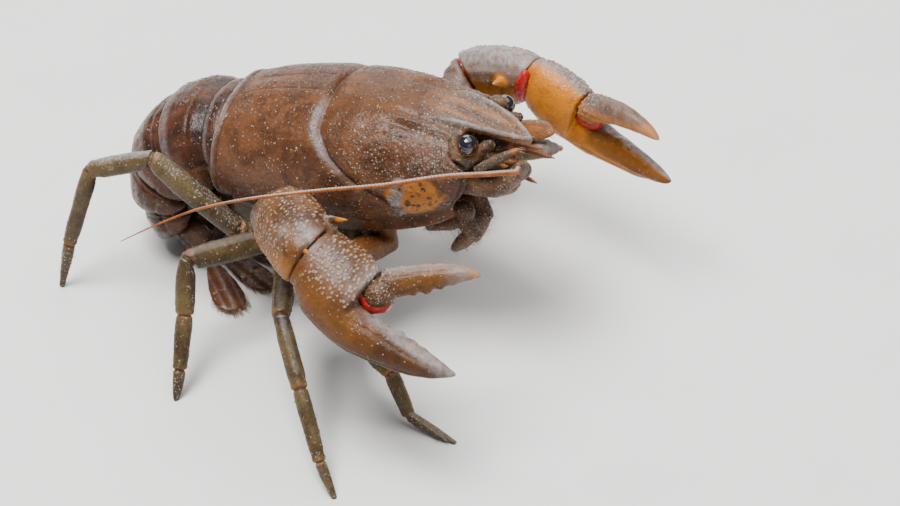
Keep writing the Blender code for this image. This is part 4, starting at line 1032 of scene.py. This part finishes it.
def make_upper_arm(side, look):
    """Merus and base of the arm."""
    elbow, knuckle, _ = (row(j) for j in ARM_JOINTS[side])
    merus = Form(f"claw_merus_{side}", VOXEL["arm"], f"cheliped_{side}_merus").relax(24)
    p = merus.points
    d = (p - elbow) @ unit(knuckle - elbow)
    reach = np.linalg.norm(knuckle - elbow)
    height = 0.05 * fractal(p, 2.0, 27) - 0.05 * grains(p, 0.5, 0.13, 29, 0.6)
    height += 0.08 * ridge(d - reach + 0.9, 0.3) + 0.07 * grains(p, 0.5, 0.12, 30, 0.35)
    merus.lift(height)
    # Painted sheen on the faces turned up, and painted shade on the faces turned down
    merus.paint(warm=0.2 * step(p[:, 2], 13, 9), mud=0.25 * step(merus.normals[:, 2], 0, 0.7),
                grey=0.3 * step(merus.normals[:, 2], 0.4, 0.9),
                dark=0.35 * step(merus.normals[:, 2], 0.3, -0.3))
    merus.finish(look, "claws", f"cheliped_{side}_merus")

    base = Form(f"claw_base_{side}", VOXEL["arm"], f"cheliped_{side}_base").relax(70)
    p = base.points
    base.lift(0.05 * fractal(p, 1.5, 31) - 0.05 * grains(p, 0.5, 0.13, 33, 0.5))
    # Darker all over, with painted shade on the faces turned down
    base.paint(warm=np.full(len(p), 0.2), mud=np.full(len(p), 0.2),
               dark=0.3 + 0.35 * step(base.normals[:, 2], 0.2, -0.7))
    base.finish(look, "claws", f"cheliped_{side}_base")


def make_carpal_spines(foot, way, inner, condyle, claw_way, look):
    """The long sharp spine of the near wrist, pale with an orange tip, and the small condyle."""
    share = np.linspace(0, 1, 25)
    start, end = foot + inner * 2.1, foot + inner * 4.15 + way * 3.3
    centres = start + np.outer(share, end - start) + np.outer(np.sin(share * math.pi) * 0.1, inner)
    points, faces = tube(centres, 0.62 * (1 - share) ** 0.85 + 0.015, 24)
    low = tube(condyle + np.outer(share, claw_way), 0.33 * (1 - share) ** 0.6 + 0.01, 24)
    piece = plain_piece("claw_spines_right", [(points, faces), low], look, "claws")
    mark(piece, "warm", np.repeat(np.append(step(share, 0.6, 0.8), step(share, 0.2, 0.4)), 24))
    mark(piece, "grey", np.repeat(np.append(step(share, 0.7, 0.55), 0.5 * step(share, 0.4, 0.2)), 24))


def make_claw_skin(look):
    """Red joint skin that shows between the plates of the arms and at the finger hinges."""
    shapes = []
    for side in ("right", "left"):
        elbow, knuckle, wrist = (row(j) for j in ARM_JOINTS[side])
        _, way, opening, flat = claw_frame(side)
        arm = unit(wrist - knuckle)
        merus = unit(knuckle - elbow)
        bend = unit(arm + merus)
        mesial = -flat * outer_sign(side)
        across = unit(np.cross(bend, flat))
        shapes.append(rumpled(knuckle, (0.9, 1.5, 1.5), (bend, across, np.cross(bend, across))))
        along_hinge = unit(way + opening * 0.3)
        hinge = wrist + way * (DACTYL_ROOT[0] + 0.25) + opening * (DACTYL_ROOT[1] - 0.85)
        shapes.append(rumpled(hinge, (1.5, 1.2, 0.95), (along_hinge, np.cross(flat, along_hinge), flat)))
        if side == "left":
            pad = wrist + way * 0.25 + opening * 0.55 + mesial * 1.3
            shapes.append(rumpled(pad, (0.62, 2.0, 0.8), (way, opening, flat), 0.1))
        else:
            shapes.append(rumpled(wrist + way * 0.2 + opening * 1.5 - mesial * 0.95, (0.36, 0.3, 0.28),
                                  (way, opening, flat)))
            blush = wrist + way * 4.9 + opening * 1.2 - mesial * 0.6
        turned = unit(np.cross(merus, (0, 0, 1)))
        shapes.append(rumpled(elbow, (1.0, 1.0, 0.7), (turned, np.cross(merus, turned), merus)))
    piece = plain_piece("claw_joint_skin", shapes, look, "claws")
    points = np.concatenate([some for some, _ in shapes])
    mark(piece, "pale", 0.8 * step(np.linalg.norm(points - blush, axis=1), 1.5, 0.7))


# Walking legs

def coxa(number, sign):
    """Both ends of a coxa."""
    x = COXA_X[number]
    return body(x, sign * 2.9, STERNUM - 0.3), body(x, sign * 4.2, COXA_LOW)


def limb_place(points, joints):
    """For each point: which segment of the limb it is on, how far along it, and that segment's length."""
    best = np.full(len(points), 1e9)
    segment = np.zeros(len(points), int)
    place = np.zeros(len(points))
    for i, (a, b) in enumerate(zip(joints, joints[1:])):
        way = b - a
        length = np.linalg.norm(way)
        t = np.clip((points - a) @ way / length**2, 0, 1)
        gap = np.linalg.norm(points - a - t[:, None] * way, axis=1)
        closer = gap < best
        best[closer], segment[closer], place[closer] = gap[closer], i, (t * length)[closer]
    lengths = np.array([np.linalg.norm(b - a) for a, b in zip(joints, joints[1:])])
    return segment, place, lengths[segment]


def joint_rims(form, joints, part):
    """Relief, warmth and darkness of the collars and slits where the limb's segments meet; the darkness in
    the slits is painted shade.
    """
    segment, place, length = limb_place(form.points, joints)
    count = len(joints) - 1
    relief, warm, dark = (np.zeros(len(form.points)) for _ in range(3))
    for i in range(count):
        here = segment == i
        near_end = length - place
        if i < count - 1 or part == "upper":
            relief += here * 0.06 * ridge(near_end - 0.3, 0.2)
            warm += here * 0.7 * ridge(near_end - 0.12, 0.22)
        # The slits are sunk and painted darker: painted shade between the segments
        if i < count - 1:
            relief -= here * 0.13 * ridge(near_end, 0.09)
            dark += here * 0.8 * ridge(near_end, 0.08)
        if i > 0:
            relief -= here * 0.13 * ridge(place, 0.09)
            dark += here * 0.8 * ridge(place, 0.08)
            warm += here * 0.5 * ridge(place - 0.1, 0.2)
    return relief, warm, dark, segment


def make_legs(look, bristle):
    shapes = []
    for (side, number), places in LEG_JOINTS.items():
        sign = 1 if side == "left" else -1
        root, low = coxa(number, sign)
        ischium, knee, wrist, ankle, tip = (row(j) for j in places)
        for part, joints in (("upper", [root, low, ischium, knee]), ("lower", [knee, wrist, ankle, tip])):
            node = f"leg_{number}_{side}_{part}"
            form = Form(f"walking_{node}", VOXEL["leg"], node).relax(14)
            p = form.points
            relief, warm, dark, segment = joint_rims(form, joints, part)
            relief += 0.03 * fractal(p, 1.3, 35 + number)
            relief += 0.045 * grains(p, 0.42, 0.11, 37 + number, 0.4)
            dust = grains(p, 0.55, 0.12, 39 + number, 0.2)
            form.lift(relief + 0.06 * dust)
            form.points[:, 2] = np.maximum(form.points[:, 2], 0)
            top = form.normals[:, 2]
            dactyl = (segment == 2) * (part == "lower")
            coated = 0.85 * step(top + 0.4 * noise(p, 1.0, 57), 0.2, 0.7) * ((side, number) == ("right", 5))
            warm = warm * (0.25 + 0.75 * step(noise(p, 0.9, 59), -0.2, 0.3))
            # Painted sheen, greyish, along the tops of the legs, and painted shade on their undersides and in
            # the slits of the joints
            painted_sheen = 0.45 * step(top, 0.7, 0.92) * (part == "lower") * (1 - 0.7 * dactyl)
            form.paint(warm=warm, grey=painted_sheen + 0.2 * step(top, 0.8, 1.0),
                       mud=most(0.15 + 0.3 * dactyl, coated, 0.6 * step(dust, 0.2, 0.6)),
                       dark=np.maximum(dark, 0.25 * step(top, -0.1, -0.7)))
            form.finish(look, "legs", node)
            weight = (form.points[:, 2] > 0.4) * (0.3 + (part == "lower") * (0.6 + 0.8 * (segment == 2)))
            roots, normals, index = picked(form, weight, 70 if part == "lower" else 36, 41 + number)
            ends = np.array(joints)[segment[index] + 1]
            starts = np.array(joints)[segment[index]]
            ways = normals + 0.9 * (ends - starts) / np.linalg.norm(ends - starts, axis=1)[:, None]
            lengths = 0.25 + 0.3 * np.random.default_rng(number).random(len(roots))
            shapes += hairs(roots, ways, lengths, 0.012)
    plain_piece("leg_bristles", shapes, bristle, "legs")


def make_leg_skin(look):
    """Skin inside the knees and between the coxae."""
    shapes = []
    for sign in (1, -1):
        share = np.linspace(0, 1, 30)
        wall = [body(x, sign * WALL_BESIDE, WALL_LEVEL + 0.9 * step(x, 2.5, -1.0))
                for x in WALL_START + WALL_LENGTH * share]
        high = WALL_DEPTH * np.minimum(1, 0.4 + 6 * np.minimum(share, 1 - share))
        shapes.append(tube(wall, high, 24, body_axes()[:, 2], 0.4))
    for (side, number), places in LEG_JOINTS.items():
        sign = 1 if side == "left" else -1
        ischium, knee, wrist, _, _ = (row(j) for j in places)
        bend = unit(unit(knee - ischium) + unit(wrist - knee))
        shapes.append(ball(knee, (0.62, 0.62, 0.45), frame_about(bend)))
        root, low = coxa(number, sign)
        shapes.append(ball(root + (root - low) * 0.03, (0.6, 0.6, 0.5), frame_about(unit(low - root))))
    plain_piece("leg_joint_skin", shapes, look, "legs")


def frame_about(way):
    """Three directions, the last along way."""
    a = unit(np.cross(way, (0.3, 0.5, 0.81)))
    return a, np.cross(way, a), way


# Head

def make_eyes(look, skin, stalk_look):
    """Black eyes in orange rims, on their short stalks."""
    turn = np.arange(49) * 2 * math.pi / 48
    for side, sign in (("left", 1), ("right", -1)):
        centre = body(22.2, sign * 3.3, EYE_LEVEL[side])
        out = unit((0.24, sign * 0.62, 0.75))
        plain_piece(f"eyeball_{side}", [ball(centre, (EYE_RADIUS,) * 3, frame_about(out), 64)], look, "eyes",
                    f"eye_{side}")
        lower = EYE_LEVEL[side] - EYE_LEVEL["right"]
        flesh = [tube([body(x, sign * y, z + lower) for x, y, z, _ in EYE_FLESH],
                      [size for *_, size in EYE_FLESH], 16)]
        if side == "left":
            flesh.append(ball(body(22.0, 2.8, -2.05), (0.75, 0.55, 0.6)))
        stalk = Form(f"eye_stalk_{side}", VOXEL["eyestalk"], f"eyestalk_{side}", flesh).relax(12)
        p = stalk.points
        stalk.lift(0.08 * fractal(p, 0.7, 43) + 0.06 * grains(p, 0.26, 0.1, 44, 0.5))
        near = step(np.linalg.norm(p - centre, axis=1), 1.15, 0.98)
        # Painted shade: the stalk is darker low down, away from the eye
        stalk.paint(warm=0.4 * near, mud=0.15 * (1 - near),
                    dark=0.45 * (1 - near) * (1 - step(p[:, 2], 18.0, 20.0)))
        stalk.finish(stalk_look, "mouthparts", f"eyestalk_{side}")
        a, b, _ = frame_about(out)
        ring = [centre - out * 0.26 + (a * math.cos(t) + b * math.sin(t)) * 0.78 for t in turn]
        plain_piece(f"eye_rim_{side}", [tube(ring, [0.055] * 49, 10)], skin, "eyes")


def curve_points(route, count):
    """Points along the clamped quadratic B-spline through a route's control points."""
    control = np.array([row(p) for p in route])
    spans = len(control) - 2
    points = []
    for u in np.linspace(0, spans - 1e-9, count):
        i = int(u)
        t = u - i
        first = 1.0 if i == 0 else 0.5
        last = 1.0 if i == spans - 1 else 0.5
        a = control[i] * (1 - t) ** 2 * first
        c = control[i + 2] * t**2 * last
        b = control[i + 1] * (1 - (1 - t) ** 2 * first - t**2 * last)
        points.append(a + b + c)
    return np.array(points)


def make_antenna(side, look):
    """The long flagellum, a chain of short rings that taper to a thread."""
    fine = curve_points(ANTENNA_ROUTE[side], 600)
    travel = np.insert(np.cumsum(np.linalg.norm(np.diff(fine, axis=0), axis=1)), 0, 0)
    total = travel[-1]
    profile = [(0.0, 0.88), (0.22, 0.98), (0.5, 1.0), (0.78, 1.05), (0.93, 0.98)]
    places, radii, bands = [], [], []
    start = 0.0
    while start < total - 0.12:
        length = ANNULUS * (1.0 - 0.35 * start / total)
        thick = np.interp(start / total, (0, 0.35, 0.75, 1), ANTENNA_RADII)
        fade = step(start / total, 0.9, 0.55)
        for share, size in profile:
            places.append(min(start + share * length, total))
            radii.append(thick * size)
            bands.append(0.9 * fade if 0.1 < share < 0.9 else 0.2 * fade)
        start += length
    centres = np.column_stack([np.interp(places, travel, fine[:, axis]) for axis in range(3)])
    sides = 10
    points, faces = tube(centres, radii, sides)
    piece = plain_piece(f"antenna_flagellum_{side}", [(points, faces)], look, "feelers", f"antenna_{side}")
    out = (points - np.repeat(centres, sides, axis=0)) / np.repeat(radii, sides)[:, None]
    # The rings are painted pale on the side turned up in the camera's view, where the light from above falls:
    # a painted highlight
    mark(piece, "lit_band", np.repeat(bands, sides) * step(out @ unit((-0.27, 0.58, 0.77)), -0.05, 0.4))


def head_extras(stem, side):
    """Balls of flesh that are fused with a feeler's base or a maxilliped."""
    if stem == "maxilliped":
        beside = 1.7 if side == "left" else -1.7
        return [ball(body(x, beside, z), (0.95, 0.75, 0.85)) for x, z in ((18.2, -9.3), (19.1, -9.4))]
    if stem == "antenna_base":
        last = body(*PEDUNCLE_END[side])
        reach = row(ANTENNA_ROUTE[side][0]) - last
        return [ball(last, (0.74, 0.74, 0.74)),
                ball(last, (0.6, 0.6, 1.15 * np.linalg.norm(reach)), frame_about(unit(reach)))]
    return []


def mouth_hairs(form, weight, count, ways, lengths, width, seed, length_seed):
    """Bristles drawn by weight: ways holds the share of the normal and the way ahead in the body's frame,
    and lengths the least length and the most that is added to it."""
    roots, normals, _ = picked(form, weight, count, seed)
    lean, forward = ways
    least, more = lengths
    chance = np.random.default_rng(length_seed).random(len(roots))
    return hairs(roots, normals * lean + body_axes() @ np.array(forward), least + more * chance, width, 0.1)


def head_relief(stem, p):
    """Relief of a feeler's base, a scale or a maxilliped, and its warm and muddy areas."""
    x, y, _ = in_body(p)
    relief = 0.03 * fractal(p, 0.9, 45) + 0.04 * grains(p, 0.34, 0.1, 47, 0.5)
    mud = 0.25 + 0.4 * step(fractal(p, 1.2, 49), -0.2, 0.5)
    warm = np.full(len(p), 0.15)
    if stem == "antennal_scale":
        share = (x - x.min()) / (x.max() - x.min())
        outer = step(np.abs(y) - along(share, [(0, 3.7), (1, 2.9)]), -0.1, 0.25)
        relief += 0.06 * outer
        relief -= 0.05 * ridge(np.abs(y) - along(share, [(0, 3.45), (1, 2.8)]), 0.1)
        warm = np.maximum(0.9 * step(share, 0.8, 0.95), 0.6 * (1 - outer))
        mud = 0.55 * outer * step(share, 0.9, 0.75)
    if stem == "antennule":
        ringed = step(x, 22.6, 23.2)
        relief = relief * (1 - ringed) - 0.03 * ringed * (np.sin(x * 2 * math.pi / 0.24) > 0.4)
        warm = 0.5 * ringed
        mud = 0.4 * (1 - ringed)
    return relief, warm, mud


def make_head_piece(stem, side, steps, slot, look):
    """One antenna base, scale, antennule or maxilliped, and the bristles on it."""
    node = f"{stem}_{side}"
    form = Form(f"head_{node}", VOXEL[stem], node, head_extras(stem, side)).relax(steps)
    x, y, z = in_body(form.points)
    relief, warm, mud = head_relief(stem, form.points)
    form.lift(relief)
    high = form.normals[:, 2]
    ahead = form.normals @ body_axes()[:, 0]
    # Painted sheen on the upward faces at the front of the left antenna base; painted shade on the faces
    # turned down and on those turned forward
    painted_sheen = 0.6 * step(x, 24.0, 25.0) * step(high, -0.2, 0.6) * (node == "antenna_base_left")
    form.paint(mud=mud * (1 - painted_sheen), warm=warm, grey=painted_sheen,
               dark=most(0.3 * step(high, 0, -0.8), 0.6 * step(ahead, 0.6, 0.95)))
    form.finish(look, slot, node)
    if stem == "maxilliped":
        return mouth_hairs(form, step(z, -10.0, -10.8) + 0.1, 240, (1.0, (0.6, 0, 0.2)),
                           (0.35, 0.35), 0.016, 51, 3)
    if stem == "antennal_scale":
        inner = step(np.abs(y), 3.2, 2.6) * step(x, 22.5, 23.2)
        return mouth_hairs(form, inner, 60, (0.5, (0.9, 0, -0.25)), (0.45, 0.2), 0.014, 53, 5)
    return []


def make_mandibles(look):
    """Both mandibles, with the slit between them."""
    form = Form("head_mandibles", VOXEL["mandibles"], "mandibles").relax(10)
    p = form.points
    x, y, _ = in_body(p)
    form.lift(0.04 * fractal(p, 0.8, 55) - 0.14 * ridge(y, 0.09) * step(x, 19, 19.8))
    # Painted shade darkens the sunk slit between the mandibles
    form.paint(mud=np.full(len(p), 0.4), warm=np.full(len(p), 0.3), pale=0.2 * step(x, 20, 20.8),
               dark=0.7 * ridge(y, 0.12))
    form.finish(look, "mouthparts", "mandibles")


def make_head_parts(look, bristle):
    """Antenna bases, scales, antennules, maxillipeds, mandibles and their bristles."""
    shapes = []
    pieces = [("antenna_base", 10, "feelers"), ("antennal_scale", 8, "feelers"), ("antennule", 6, "feelers"),
              ("maxilliped", 8, "mouthparts")]
    for stem, steps, slot in pieces:
        for side in ("left", "right"):
            shapes += make_head_piece(stem, side, steps, slot, look)
    make_mandibles(look)
    plain_piece("mouth_bristles", shapes, bristle, "mouthparts")


# Studio

def make_studio():
    """Pale floor, soft lights and the camera at the photograph's angle."""
    bpy.ops.mesh.primitive_plane_add(size=6, location=(0, 0, 0))
    floor = bpy.context.object
    floor.name = "floor"
    look = Look("floor")
    colour = look.mix(look.noise(9, 3, 0.5), FLOOR_GREY, FLOOR_PALE)
    look.set(Base_Color=colour, Roughness=0.85)
    floor.data.materials.append(look.material)
    target = Vector(CAMERA_TARGET * MM)
    for name, place, size, power in LIGHTS:
        light = bpy.data.lights.new(name, "AREA")
        light.size = size
        light.energy = power
        lamp = bpy.data.objects.new(name, light)
        lamp.location = place
        lamp.rotation_mode = "QUATERNION"
        lamp.rotation_quaternion = (target - Vector(place)).to_track_quat("-Z", "Y")
        bpy.context.scene.collection.objects.link(lamp)
    world = bpy.data.worlds.new("studio")
    world.use_nodes = True
    world.node_tree.nodes["Background"].inputs["Color"].default_value = WORLD_LIGHT
    world.node_tree.nodes["Background"].inputs["Strength"].default_value = WORLD_POWER
    bpy.context.scene.world = world

    camera = bpy.data.cameras.new("camera")
    camera.lens = CAMERA_LENS
    camera.sensor_width = 36
    camera.clip_start, camera.clip_end = 0.01, 10
    eye = bpy.data.objects.new("camera", camera)
    back = Vector((math.sin(CAMERA_AZIMUTH) * math.cos(CAMERA_HEIGHT),
                   -math.cos(CAMERA_AZIMUTH) * math.cos(CAMERA_HEIGHT), math.sin(CAMERA_HEIGHT)))
    eye.location = target + back * CAMERA_DISTANCE * MM
    eye.rotation_mode = "QUATERNION"
    eye.rotation_quaternion = (-back).to_track_quat("-Z", "Y")
    bpy.context.scene.collection.objects.link(eye)
    bpy.context.scene.camera = eye


def main():
    shell = shell_look("tail_shell", TAIL_DARK, TAIL_BROWN, TAIL_WARM, 0.28, 0.4)
    head = shell_look("carapace_shell", BROWN_DARK, BROWN, ORANGE)
    claw = shell_look("claw_shell", CLAW_DARK, CLAW_BROWN, CLAW_ORANGE, 0.3, 0.4)
    leg = shell_look("leg_shell", OLIVE_DARK, OLIVE, JOINT_ORANGE, 0.32, 0.2)
    mouth = shell_look("mouth_shell", MOUTH_DARK, MOUTH_BROWN, JOINT_ORANGE, 0.34, 0.5)
    feeler, eye, membrane, bristle = feeler_look(), eye_look(), membrane_look(), bristle_look()
    make_studio()
    make_carapace(head)
    make_tail(shell)
    make_tail_fan(shell, bristle)
    for side in ("right", "left"):
        make_palm(side, claw)
        make_finger(side, claw)
        make_carpus(side, claw)
        make_upper_arm(side, claw)
        make_antenna(side, feeler)
    make_claw_skin(membrane)
    make_legs(leg, bristle)
    make_leg_skin(leg)
    make_eyes(eye, feeler, mouth)
    make_head_parts(mouth, bristle)


main()
